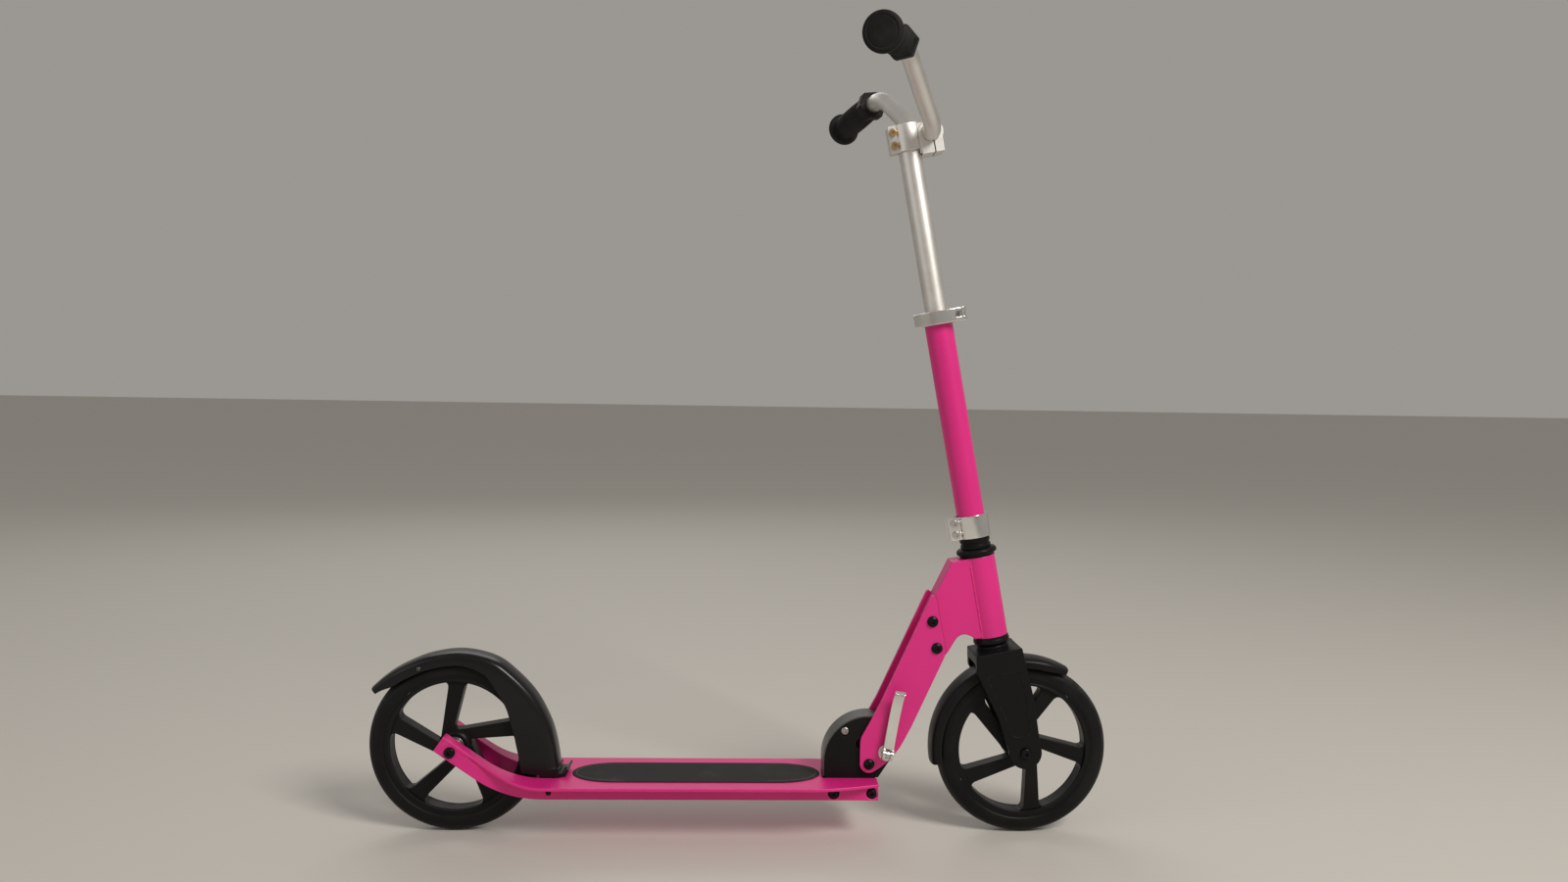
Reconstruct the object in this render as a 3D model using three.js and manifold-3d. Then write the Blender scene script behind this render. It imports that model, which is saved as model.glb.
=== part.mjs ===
// A folding kick scooter for a child, in millimetres.
// +X is the way it rolls, +Y is the rider's left, +Z is up, and Z = 0 is the floor.
// Sizes along X are measured from the rear axle; the whole scooter is moved at the end so that the
// origin lies on the floor midway between the axles.

import * as THREE from 'three';
import { mergeVertices } from 'three/addons/utils/BufferGeometryUtils.js';
import Module from 'manifold-3d';

const wasm = await Module();
wasm.setup();

// ---------------------------------------------------------------- driving dimensions

const WHEEL_RADIUS = 100;
const WHEELBASE = 659;
const TYRE_HALF_WIDTH = 14;
const RIM_OUTER = 80;
const RIM_INNER = 74.5;
const RIM_HALF_WIDTH = 12.5;
const SPOKES = 5;
const SPOKE = { aside: 12, hubHalf: 6.6, rimHalf: 9.4, halfDepth: 9 };
const WHEEL_SEGMENTS = 40;
const REAR_SPOKE_ANGLE = 7;
const FRONT_SPOKE_ANGLE = -17;

const AXLE_RADIUS = 4;
const BEARING_RADIUS = 11;
const BEARING_INNER_FACE = 6;
const BEARING_OUTER_FACE = 13;

const DECK_TOP = 66;
const DECK_DEPTH = 20;
const DECK_FRONT = 488;
const LIP_HALF_WIDTH = 57;
const LIP_THICKNESS = 3.5;
const WALL_HALF_WIDTH = 36;
const WALL_THICKNESS = 3;
const SLOT_HALF_WIDTH = 20;
const SLOT_FRONT = 126;
const BEND_START = 104.6;
const BEND_RADIUS = 117.6;
const STAY_ANGLE = THREE.MathUtils.degToRad(34.5);
const STAY_LENGTH = 55;

const PIVOT = { x: 478, z: 84 };
const SKEWER = { x: 498, z: 98 };
const FOLD_ANGLE = THREE.MathUtils.degToRad(77);
const BLOCK_CENTRE = { x: 478, z: 86 };
const BLOCK_RADIUS = 51;
const BLOCK_HALF_WIDTH = 16;
const PLATE_INNER = 16.5;
const PLATE_OUTER = 21.5;
const BRAKE_PIN = { x: 111.3, z: 54.2 };

const RAKE = THREE.MathUtils.degToRad(10.8);
const FORK_OFFSET = 12.7;
const LEG_INNER = 21.5;
const LEG_OUTER = 30;
const CROWN_TOP = 121.5;
const CROWN_BOTTOM = 109.5;
const HEAD_TUBE = { from: 137, to: 232, radius: 20, bore: 17 };
const STEERER_RADIUS = 13.4;
const OUTER_TUBE = { from: 256, to: 520.6, radius: 16.25, bore: 13.7 };
const INNER_TUBE = { from: 468, to: 736, radius: 13.2, bore: 11.2 };
const HEIGHT_CLAMP = { from: 505, to: 521 };
const LEVER_PIVOT = { x: 26, y: -15.3 };
const STEM_CLAMP = { from: 706, to: 737 };
const BAR = { x: 25, z: 722, radius: 10.2 };
const BAR_BEND = new THREE.Vector3(25, 38, 722);
const GRIP_BEND = new THREE.Vector3(-3.6, 113, 797);
const GRIP_END = new THREE.Vector3(-46.1, 227, 786.3);
const GRIP_LENGTH = 98;
const BAR_SHORT = 6;

const GAP = 0.3;

// ---------------------------------------------------------------- materials

const finishes = {
  pink_paint: { color: 0xd9407f, roughness: 0.42, metalness: 0.1 },
  black_plastic: { color: 0x17171a, roughness: 0.35, metalness: 0 },
  black_tyre: { color: 0x1b1b1d, roughness: 0.6, metalness: 0 },
  black_metal: { color: 0x1c1c1f, roughness: 0.45, metalness: 0.4 },
  rubber: { color: 0x18181a, roughness: 0.75, metalness: 0 },
  grip_tape: { color: 0x35332f, roughness: 0.95, metalness: 0 },
  aluminium: { color: 0xc4c2bd, roughness: 0.35, metalness: 0.85 },
  steel: { color: 0x8d8b86, roughness: 0.4, metalness: 0.9 },
};

// ---------------------------------------------------------------- solids and outlines

function manifoldOf(positions, corners) {
  return new wasm.Manifold(new wasm.Mesh({
    numProp: 3,
    vertProperties: Float32Array.from(positions),
    triVerts: Uint32Array.from(corners),
  }));
}

// A closed geometry as a manifold solid: shared corners merged, faces pointing out.
function solid(geometry) {
  const bare = geometry.clone();
  bare.deleteAttribute('normal');
  bare.deleteAttribute('uv');
  const merged = mergeVertices(bare, 1e-4);
  const positions = merged.attributes.position.array;
  const corners = [];
  for (let i = 0; i < merged.index.count; i += 3) {
    const [a, b, c] = [0, 1, 2].map((k) => merged.index.getX(i + k));
    if (a !== b && b !== c && c !== a) {
      corners.push(a, b, c);
    }
  }
  const made = manifoldOf(positions, corners);
  return made.volume() < 0 ? manifoldOf(positions, corners.reverse()) : made;
}

function geometryOf(manifold) {
  const mesh = manifold.getMesh();
  const geometry = new THREE.BufferGeometry();
  geometry.setAttribute('position', new THREE.BufferAttribute(mesh.vertProperties, 3));
  geometry.setIndex(new THREE.BufferAttribute(mesh.triVerts, 1));
  return geometry;
}

function join(...solids) {
  return solids.reduce((whole, next) => whole.add(next));
}

function cut(whole, ...tools) {
  return tools.reduce((rest, tool) => rest.subtract(tool), whole);
}

function outline(points) {
  return new THREE.Shape(points.map(([x, y]) => new THREE.Vector2(x, y)));
}

function rectangle(x0, x1, y0, y1) {
  return outline([[x0, y0], [x1, y0], [x1, y1], [x0, y1]]);
}

// An outline in X and Z, carried from y0 to y1.
function prism(shape, y0, y1, curveSegments = 8) {
  const geometry = new THREE.ExtrudeGeometry(shape, { depth: y1 - y0, bevelEnabled: false, curveSegments });
  geometry.rotateX(Math.PI / 2);
  geometry.translate(0, y1, 0);
  return solid(geometry);
}

// An outline in X and Y, carried from z0 to z1.
function slab(shape, z0, z1, curveSegments = 8) {
  const geometry = new THREE.ExtrudeGeometry(shape, { depth: z1 - z0, bevelEnabled: false, curveSegments });
  geometry.translate(0, 0, z0);
  return solid(geometry);
}

function box(x0, x1, y0, y1, z0, z1) {
  const geometry = new THREE.BoxGeometry(x1 - x0, y1 - y0, z1 - z0);
  geometry.translate((x0 + x1) / 2, (y0 + y1) / 2, (z0 + z1) / 2);
  return solid(geometry);
}

// A [radius, y] profile turned about the Y axis.
function turned(profile, segments = 16) {
  const points = profile.map(([r, y]) => new THREE.Vector2(r, y));
  return solid(new THREE.LatheGeometry(points, segments));
}

// The same profile with the axis stood up along Z.
function turnedUpright(profile, segments = 16) {
  return turned(profile, segments).rotate([90, 0, 0]);
}

function ringProfile(inner, outer, from, to) {
  return [[inner, from], [outer, from], [outer, to], [inner, to], [inner, from]];
}

function rodProfile(radius, from, to) {
  return [[0, from], [radius, from], [radius, to], [0, to]];
}

// A round bar along Y through the point x, z.
function rodAcross(x, z, radius, from, to, segments = 12) {
  return turned(rodProfile(radius, from, to), segments).translate([x, 0, z]);
}

function rodUpright(x, y, radius, from, to, segments = 16) {
  return turnedUpright(rodProfile(radius, from, to), segments).translate([x, y, 0]);
}

function mirroredAcross(solidOnOneSide) {
  return solidOnOneSide.mirror([0, 1, 0]);
}

// A closed section carried through a row of frames; each section is an array of Vector3.
function loft(sections, flatSection) {
  const perSection = flatSection.length;
  const positions = sections.flat().flatMap((p) => [p.x, p.y, p.z]);
  const triangles = [];
  for (let s = 0; s + 1 < sections.length; s += 1) {
    for (let i = 0; i < perSection; i += 1) {
      const a = s * perSection + i;
      const b = s * perSection + (i + 1) % perSection;
      triangles.push(a, b, b + perSection, a, b + perSection, a + perSection);
    }
  }
  const last = (sections.length - 1) * perSection;
  const sameWay = (face) => THREE.ShapeUtils.area(face.map((i) => flatSection[i]))
    * THREE.ShapeUtils.area(flatSection) > 0;
  for (const face of THREE.ShapeUtils.triangulateShape(flatSection, [])) {
    const [a, b, c] = sameWay(face) ? face : face.slice().reverse();
    triangles.push(c, b, a, last + a, last + b, last + c);
  }
  const geometry = new THREE.BufferGeometry();
  geometry.setAttribute('position', new THREE.Float32BufferAttribute(positions, 3));
  geometry.setIndex(triangles);
  return solid(geometry);
}

// ---------------------------------------------------------------- the assembly

const scooter = new THREE.Group();
scooter.position.x = -WHEELBASE / 2;

// The steering parts are drawn upright about the steering axis, with the front axle FORK_OFFSET
// ahead of it at height 0, and then leant back by the rake.
const steering = new THREE.Group();
steering.position.set(
  WHEELBASE - FORK_OFFSET * Math.cos(RAKE),
  0,
  WHEEL_RADIUS - FORK_OFFSET * Math.sin(RAKE),
);
steering.rotation.y = -RAKE;
scooter.add(steering);

function piece(name, shape, finish, parent = scooter) {
  const look = { ...finishes[finish] };
  const mesh = new THREE.Mesh(geometryOf(shape), new THREE.MeshStandardMaterial(look));
  mesh.name = name;
  parent.add(mesh);
  return mesh;
}

// A steering-frame solid moved into the scooter's own frame.
function leant(shape) {
  const degrees = THREE.MathUtils.radToDeg(-RAKE);
  return shape.rotate([0, degrees, 0]).translate(steering.position.toArray());
}

// ---------------------------------------------------------------- wheels

function tyre() {
  const half = [
    [RIM_OUTER + GAP, -12.8], [87, -TYRE_HALF_WIDTH], [93.5, -12.6], [97.6, -8.8], [WHEEL_RADIUS, -2.2],
  ];
  const otherHalf = half.slice().reverse().map(([r, y]) => [r, -y]);
  return turned([...half, ...otherHalf, half[0]], WHEEL_SEGMENTS);
}

// A point of the wheel's plane, `along` a direction from the axle and `aside` to the left of it.
function fromAxle(angle, along, aside) {
  return new THREE.Vector2(along, aside).rotateAround(new THREE.Vector2(), angle);
}

function crossing([a, b], [c, d]) {
  const ab = b.clone().sub(a);
  const cd = d.clone().sub(c);
  return a.clone().addScaledVector(ab, c.clone().sub(a).cross(cd) / ab.cross(cd));
}

function stepTowards(from, to, distance) {
  return from.clone().lerp(to, distance / from.distanceTo(to));
}

// The window between two spokes. Spokes run past the axle on one side and widen towards the rim.
function spokeWindow(angle) {
  const next = angle + (2 * Math.PI) / SPOKES;
  const { aside, hubHalf, rimHalf } = SPOKE;
  const edge = (turn, side) => [
    fromAxle(turn, 20, aside + side * hubHalf), fromAxle(turn, RIM_INNER - 4, aside + side * rimHalf),
  ];
  const [first, second] = [edge(angle, 1), edge(next, -1)];
  const hubCorner = crossing(first, second);
  const from = angle + Math.asin((aside + rimHalf) / RIM_INNER);
  const to = next + Math.asin((aside - rimHalf) / RIM_INNER);
  const round = 0.1;
  const corners = [from, to].map((turn) => fromAxle(turn, RIM_INNER, 0));
  const path = new THREE.Path();
  path.moveTo(...stepTowards(hubCorner, first[1], 3).toArray());
  path.lineTo(...stepTowards(corners[0], first[0], 8).toArray());
  path.quadraticCurveTo(...corners[0].toArray(), ...fromAxle(from + round, RIM_INNER, 0).toArray());
  path.absarc(0, 0, RIM_INNER, from + round, to - round, false);
  path.quadraticCurveTo(...corners[1].toArray(), ...stepTowards(corners[1], second[0], 8).toArray());
  path.lineTo(...stepTowards(hubCorner, second[1], 3).toArray());
  path.quadraticCurveTo(...hubCorner.toArray(), ...stepTowards(hubCorner, first[1], 3).toArray());
  return path;
}

// The plastic wheel centre: rim, spokes and hub in one, with a seat for a bearing on each side.
function wheelCore(spokeAngle) {
  const web = outline(Array.from({ length: WHEEL_SEGMENTS }, (_, i) => {
    const angle = (2 * Math.PI * i) / WHEEL_SEGMENTS;
    return [(RIM_INNER + 2) * Math.cos(angle), (RIM_INNER + 2) * Math.sin(angle)];
  }));
  for (let i = 0; i < SPOKES; i += 1) {
    web.holes.push(spokeWindow(THREE.MathUtils.degToRad(spokeAngle + i * (360 / SPOKES))));
  }
  const spokes = prism(web, -SPOKE.halfDepth, SPOKE.halfDepth, 4);
  const rim = turned([
    [RIM_INNER + 1, -SPOKE.halfDepth], [RIM_INNER, -RIM_HALF_WIDTH], [RIM_OUTER, -RIM_HALF_WIDTH],
    [RIM_OUTER, RIM_HALF_WIDTH], [RIM_INNER, RIM_HALF_WIDTH],
    [RIM_INNER + 1, SPOKE.halfDepth], [RIM_INNER + 1, -SPOKE.halfDepth],
  ], WHEEL_SEGMENTS);
  const hub = turned(rodProfile(17, -12.8, 12.8), 20);
  const bore = turned(rodProfile(AXLE_RADIUS + 3, -20, 20));
  const seat = turned(rodProfile(BEARING_RADIUS + 0.2, BEARING_INNER_FACE - GAP, 20), 20);
  return cut(join(spokes, rim, hub), bore, seat, mirroredAcross(seat));
}

function bearing() {
  return turned(ringProfile(AXLE_RADIUS + GAP, BEARING_RADIUS, BEARING_INNER_FACE, BEARING_OUTER_FACE));
}

function spacer(outerFace) {
  return turned(ringProfile(AXLE_RADIUS + GAP, 6.8, BEARING_OUTER_FACE + GAP, outerFace - GAP));
}

function wheelAt(end, centre, spokeAngle, parent) {
  const bodies = [
    [`${end}_tyre`, tyre(), 'black_tyre'],
    [`${end}_core`, wheelCore(spokeAngle), 'black_plastic'],
    [`${end}_bearing_left`, bearing(), 'steel'],
    [`${end}_bearing_right`, mirroredAcross(bearing()), 'steel'],
  ];
  for (const [name, shape, finish] of bodies) {
    piece(name, shape.translate(centre), finish, parent);
  }
}

// An axle bolt along Y with its head on the right, and the ring nut on its left end.
function axleAt(end, centre, outerFace, parent) {
  const head = outerFace + GAP;
  const bolt = turned([
    [0, -head - 3.8], [5, -head - 3.8], [6.3, -head - 2.4], [6.3, -head], [AXLE_RADIUS, -head],
    [AXLE_RADIUS, head + 4], [0, head + 4],
  ]);
  const socket = turned(rodProfile(2.6, -head - 5, -head - 1.6), 6);
  const nut = turned([
    [AXLE_RADIUS + GAP, head], [6.3, head], [6.3, head + 2.8], [5, head + 4.6],
    [AXLE_RADIUS + GAP, head + 4.6], [AXLE_RADIUS + GAP, head],
  ]);
  piece(`${end}_axle`, cut(bolt, socket).translate(centre), 'black_metal', parent);
  piece(`${end}_axle_nut`, nut.translate(centre), 'black_metal', parent);
}

function spacersAt(end, centre, outerFace, parent) {
  piece(`${end}_spacer_left`, spacer(outerFace).translate(centre), 'aluminium', parent);
  piece(`${end}_spacer_right`, mirroredAcross(spacer(outerFace)).translate(centre), 'aluminium', parent);
}

const REAR_AXLE = [0, 0, WHEEL_RADIUS];
const FRONT_AXLE = [FORK_OFFSET, 0, 0];

wheelAt('rear', REAR_AXLE, REAR_SPOKE_ANGLE, scooter);
axleAt('rear', REAR_AXLE, WALL_HALF_WIDTH, scooter);
spacersAt('rear', REAR_AXLE, SLOT_HALF_WIDTH, scooter);
wheelAt('front', [WHEELBASE, 0, WHEEL_RADIUS], FRONT_SPOKE_ANGLE, scooter);
axleAt('front', FRONT_AXLE, LEG_OUTER, steering);
spacersAt('front', FRONT_AXLE, LEG_INNER, steering);

// ---------------------------------------------------------------- deck

// The side line of the deck, `drop` below its top: down the stay, round the bend, along to the front.
function deckLine(drop, overrun = 0) {
  const radius = BEND_RADIUS + drop;
  const centreZ = DECK_TOP + BEND_RADIUS;
  const points = [];
  const length = STAY_LENGTH + overrun;
  const bendTop = [BEND_START - radius * Math.sin(STAY_ANGLE), centreZ - radius * Math.cos(STAY_ANGLE)];
  points.push([bendTop[0] - length * Math.cos(STAY_ANGLE), bendTop[1] + length * Math.sin(STAY_ANGLE)]);
  for (let i = 6; i >= 0; i -= 1) {
    const angle = (STAY_ANGLE * i) / 6;
    points.push([BEND_START - radius * Math.sin(angle), centreZ - radius * Math.cos(angle)]);
  }
  points.push([DECK_FRONT + overrun, DECK_TOP - drop]);
  return points;
}

function deckStrip(upper, lower, overrun = 0) {
  return outline([...deckLine(upper, overrun), ...deckLine(lower, overrun).reverse()]);
}

// The plan of the foot plate: lips that run out towards the axle and towards the folding block.
function platePlan() {
  const plan = new THREE.Shape();
  plan.moveTo(-40, -WALL_HALF_WIDTH);
  plan.lineTo(14, -WALL_HALF_WIDTH);
  plan.bezierCurveTo(60, -WALL_HALF_WIDTH, 70, -LIP_HALF_WIDTH, 112, -LIP_HALF_WIDTH);
  plan.lineTo(414, -LIP_HALF_WIDTH);
  plan.quadraticCurveTo(444, -LIP_HALF_WIDTH + 1, DECK_FRONT + 1, -39);
  plan.lineTo(DECK_FRONT + 1, 39);
  plan.quadraticCurveTo(444, LIP_HALF_WIDTH - 1, 414, LIP_HALF_WIDTH);
  plan.lineTo(112, LIP_HALF_WIDTH);
  plan.bezierCurveTo(70, LIP_HALF_WIDTH, 60, WALL_HALF_WIDTH, 14, WALL_HALF_WIDTH);
  plan.lineTo(-40, WALL_HALF_WIDTH);
  return plan;
}

function wheelSlot() {
  const round = 9;
  const plan = new THREE.Shape();
  plan.moveTo(-60, -SLOT_HALF_WIDTH);
  plan.lineTo(SLOT_FRONT - round, -SLOT_HALF_WIDTH);
  plan.absarc(SLOT_FRONT - round, -SLOT_HALF_WIDTH + round, round, -Math.PI / 2, 0, false);
  plan.absarc(SLOT_FRONT - round, SLOT_HALF_WIDTH - round, round, 0, Math.PI / 2, false);
  plan.lineTo(-60, SLOT_HALF_WIDTH);
  return slab(plan, 20, 140, 3);
}

const BLOCK_SCREW = { x: 450.2, z: 120.6, face: 12.8 };
const BLOCK_BOLTS = { rear: { x: 436.5, z: 54.2 }, front: { x: 480.5, z: 54.2 } };

function deckFrame() {
  const plate = prism(deckStrip(0, LIP_THICKNESS), -LIP_HALF_WIDTH, LIP_HALF_WIDTH)
    .intersect(slab(platePlan(), 20, 140, 6));
  const walls = prism(deckStrip(0, DECK_DEPTH), -WALL_HALF_WIDTH, WALL_HALF_WIDTH);
  const hollow = deckStrip(WALL_THICKNESS, DECK_DEPTH - WALL_THICKNESS, 10);
  const sideChamber = prism(hollow, SLOT_HALF_WIDTH + WALL_THICKNESS, WALL_HALF_WIDTH - WALL_THICKNESS);
  const middleChamber = box(
    SLOT_FRONT - 20, DECK_FRONT + 5, -SLOT_HALF_WIDTH, SLOT_HALF_WIDTH,
    DECK_TOP - DECK_DEPTH + WALL_THICKNESS, DECK_TOP - LIP_THICKNESS,
  );
  const blockSeat = box(424.5, DECK_FRONT + 5, -BLOCK_HALF_WIDTH - 0.6, BLOCK_HALF_WIDTH + 0.6, 60, 70);
  const holes = [
    rodAcross(0, WHEEL_RADIUS, AXLE_RADIUS + GAP, -45, 45),
    rodAcross(BRAKE_PIN.x, BRAKE_PIN.z, 3.3, -45, 45),
  ];
  for (const bolt of Object.values(BLOCK_BOLTS)) {
    holes.push(rodAcross(bolt.x, bolt.z, 4.3, -30, 30));
    holes.push(rodAcross(bolt.x, bolt.z, 6.6, -45, -28, 16));
    holes.push(rodAcross(bolt.x, bolt.z, 6.6, 28, 45, 16));
  }
  const frame = join(plate, walls);
  const chambers = [sideChamber, mirroredAcross(sideChamber), middleChamber];
  return cut(frame, ...chambers, wheelSlot(), blockSeat, ...holes);
}

function gripTape() {
  const plan = new THREE.Shape();
  plan.absellipse(372, 0, 50, 35, -Math.PI / 2, Math.PI / 2, false);
  plan.absellipse(184, 0, 50, 35, Math.PI / 2, (3 * Math.PI) / 2, false);
  return slab(plan, DECK_TOP + 0.2, DECK_TOP + 1.2, 9);
}

piece('deck_frame', deckFrame(), 'pink_paint');
piece('grip_tape', gripTape(), 'grip_tape');
const pinReach = WALL_HALF_WIDTH + 0.6;
piece('brake_pin', rodAcross(BRAKE_PIN.x, BRAKE_PIN.z, 3, -pinReach, pinReach), 'black_metal');

// ---------------------------------------------------------------- folding block

// The slot the skewer runs along while the neck folds, with a wider seat at each end.
function foldSlot() {
  const reach = Math.hypot(SKEWER.x - PIVOT.x, SKEWER.z - PIVOT.z);
  const start = Math.atan2(SKEWER.z - PIVOT.z, SKEWER.x - PIVOT.x);
  const end = start + FOLD_ANGLE;
  const half = AXLE_RADIUS + 0.7;
  const at = (angle) => [PIVOT.x + reach * Math.cos(angle), PIVOT.z + reach * Math.sin(angle)];
  const path = new THREE.Shape();
  path.absarc(PIVOT.x, PIVOT.z, reach + half, start, end, false);
  path.absarc(...at(end), half, end, end + Math.PI, false);
  path.absarc(PIVOT.x, PIVOT.z, reach - half, end, start, true);
  path.absarc(...at(start), half, start + Math.PI, start + 2 * Math.PI, false);
  const seats = [start, end].map((angle) => {
    const [x, z] = at(angle);
    return rodAcross(x, z, half + 1.4, -30, 30, 14);
  });
  return join(prism(path, -30, 30, 6), ...seats);
}

function foldBlock() {
  const side = new THREE.Shape();
  const { x, z } = BLOCK_CENTRE;
  side.moveTo(489.5, DECK_TOP + GAP);
  side.lineTo(503, 87);
  side.lineTo(511, 106);
  side.lineTo(x + BLOCK_RADIUS * Math.cos(0.78), z + BLOCK_RADIUS * Math.sin(0.78));
  side.absarc(x, z, BLOCK_RADIUS, 0.78, Math.PI, false);
  side.lineTo(x - BLOCK_RADIUS, DECK_TOP + GAP);
  const body = prism(side, -BLOCK_HALF_WIDTH, BLOCK_HALF_WIDTH, 10);
  const neck = box(428, 486, -BLOCK_HALF_WIDTH, BLOCK_HALF_WIDTH, 58, DECK_TOP + 4);
  const foot = box(428, 486, -19.6, 19.6, DECK_TOP - DECK_DEPTH + 3.4, DECK_TOP - LIP_THICKNESS - 0.4);
  const holes = [
    rodAcross(PIVOT.x, PIVOT.z, AXLE_RADIUS + GAP, -30, 30),
    rodAcross(BLOCK_SCREW.x, BLOCK_SCREW.z, 3.3, -30, 30),
    rodAcross(BLOCK_SCREW.x, BLOCK_SCREW.z, 5.8, -30, -BLOCK_SCREW.face),
    rodAcross(BLOCK_SCREW.x, BLOCK_SCREW.z, 5.8, BLOCK_SCREW.face, 30),
    ...Object.values(BLOCK_BOLTS).map((bolt) => rodAcross(bolt.x, bolt.z, 4.3, -30, 30)),
  ];
  return cut(join(body, neck, foot), foldSlot(), ...holes);
}

// The metal strap that follows the block's curved back.
function blockStrap() {
  const { x, z } = BLOCK_CENTRE;
  const inner = BLOCK_RADIUS + GAP;
  const outer = inner + 2;
  const side = new THREE.Shape();
  side.moveTo(x - outer, DECK_TOP + 2);
  side.lineTo(x - inner, DECK_TOP + 2);
  side.absarc(x, z, inner, Math.PI, 0.8, true);
  side.absarc(x, z, outer, 0.8, Math.PI, false);
  return prism(side, -BLOCK_HALF_WIDTH, BLOCK_HALF_WIDTH, 10);
}

// A screw through from right to left whose two domed ends have a hexagon socket.
function throughBolt(x, z, shaft, head, face, height) {
  const end = face + height;
  const bolt = turned([
    [0, -end], [head * 0.62, -end], [head, -end + height * 0.5], [head, -face], [shaft, -face],
    [shaft, face], [head, face], [head, end - height * 0.5], [head * 0.62, end], [0, end],
  ], 12);
  const socket = turned(rodProfile(head * 0.42, end - height * 0.6, end + 2), 6);
  return cut(bolt, socket, mirroredAcross(socket)).translate([x, 0, z]);
}

piece('fold_block', foldBlock(), 'black_plastic');
piece('block_strap', blockStrap(), 'steel');
const blockScrew = throughBolt(BLOCK_SCREW.x, BLOCK_SCREW.z, 3, 5.3, BLOCK_SCREW.face + GAP, 2.6);
piece('block_screw', blockScrew, 'aluminium');
for (const [end, { x, z }] of Object.entries(BLOCK_BOLTS)) {
  piece(`block_bolt_${end}`, throughBolt(x, z, AXLE_RADIUS, 5.8, 33.4, 3.6), 'black_metal');
}

// ---------------------------------------------------------------- rear brake

// A fender's cross-section at one station: a channel with rounded shoulders and two side skirts.
function channel(halfWidth, depth, wall) {
  const inner = halfWidth - wall;
  const half = [
    [halfWidth, depth], [halfWidth, 7], [halfWidth * 0.93, 3.2], [halfWidth * 0.72, 1.1],
    [halfWidth * 0.38, 0.2],
  ];
  const innerHalf = [
    [inner * 0.38, wall + 0.2], [inner * 0.72, wall + 0.9], [inner * 0.93, wall + 2.8],
    [inner, wall + 5.4], [inner, depth],
  ];
  const across = (points) => points.slice().reverse().map(([y, d]) => [-y, d]);
  return [...half, ...across(half), ...across(innerHalf), ...innerHalf]
    .map(([y, d]) => new THREE.Vector2(y, d));
}

// Carries the channel along stations of { x, z, nx, nz, halfWidth, depth }, n pointing to the wheel.
function fender(stations, wall) {
  const sections = stations.map((s) => channel(s.halfWidth, s.depth, wall)
    .map((p) => new THREE.Vector3(s.x + s.nx * p.y, p.x, s.z + s.nz * p.y)));
  return loft(sections, channel(stations[0].halfWidth, stations[0].depth, wall));
}

// The line along the fender's crest, from the deck over the wheel to the tail.
const CREST_LINE = [
  [122.2, 67], [120, 81], [115.6, 105.8], [108.5, 129], [91.6, 159.8], [67.2, 185.7], [42.9, 202.4],
  [6.7, 210.4], [-29.5, 205.9], [-59.8, 193.8], [-79.4, 181.4], [-96, 166.8],
];
const REAR_FENDER_WALL = 2.6;

// Skirts reach furthest where the fender stands on the deck and shorten towards its tip.
function rearFenderStations() {
  const crest = new THREE.SplineCurve(CREST_LINE.map(([x, z]) => new THREE.Vector2(x, z)));
  const steps = 22;
  return Array.from({ length: steps + 1 }, (_, i) => {
    const at = crest.getPointAt(i / steps);
    const along = crest.getTangentAt(i / steps);
    const turn = THREE.MathUtils.radToDeg(Math.atan2(at.y - WHEEL_RADIUS, at.x));
    const towardsTip = THREE.MathUtils.smoothstep(turn, 112, 146);
    const overCrown = THREE.MathUtils.smoothstep(turn, 5, 88);
    const nearTip = THREE.MathUtils.smoothstep(turn, 132, 146);
    return {
      x: at.x, z: at.y, nx: -along.y, nz: along.x,
      halfWidth: 19.4 - 6 * towardsTip ** 2,
      depth: 44 - 28 * overCrown - 7 * nearTip,
    };
  });
}

// The fender stands on a foot that fills the wheel slot round the brake pin; its front lip rests on
// the deck and stops it from swinging up.
function rearFender() {
  const shell = fender(rearFenderStations(), REAR_FENDER_WALL);
  const foot = prism(outline([
    [99, 49.5], [119, 49.5], [119.5, 66.5], [121, 76], [101, 76], [98.2, 70],
  ]), -18.4, 18.4);
  const lip = prism(outline([
    [117, DECK_TOP + 0.6], [128, DECK_TOP + 0.6], [132, 74.5], [129.6, 75.5], [125, 70.5], [117, 71],
  ]), -17.5, 17.5);
  const clearOfStays = prism(deckStrip(-2.6, 30), -60, 60).intersect(box(-60, 99.5, -60, 60, 0, 140));
  const pinHole = rodAcross(BRAKE_PIN.x, BRAKE_PIN.z, 3.3, -45, 45);
  return cut(join(cut(shell, clearOfStays), foot, lip), pinHole);
}

// The friction plate riveted under the crest, just above the tyre.
function brakePad() {
  const side = new THREE.Shape();
  const from = THREE.MathUtils.degToRad(84);
  const to = THREE.MathUtils.degToRad(110);
  const outer = WHEEL_RADIUS + 5.8;
  side.absarc(0, WHEEL_RADIUS, outer, from, to, false);
  side.absarc(0, WHEEL_RADIUS, outer - 3, to, from, true);
  return prism(side, -8, 8, 8);
}

function brakeRivet() {
  return turned([[0, 0.3], [2.6, 0.3], [2.4, 1], [1.4, 1.6], [0, 1.7]], 12).translate([-39.2, 19.4, 191.4]);
}

piece('rear_fender', rearFender(), 'black_plastic');
piece('brake_pad', brakePad(), 'steel');
piece('brake_rivet_left', brakeRivet(), 'steel');
piece('brake_rivet_right', mirroredAcross(brakeRivet()), 'steel');

// ---------------------------------------------------------------- folding neck

const NECK_BOLTS = { upper: { x: 548.8, z: 251 }, lower: { x: 554.4, z: 220 } };

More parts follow.
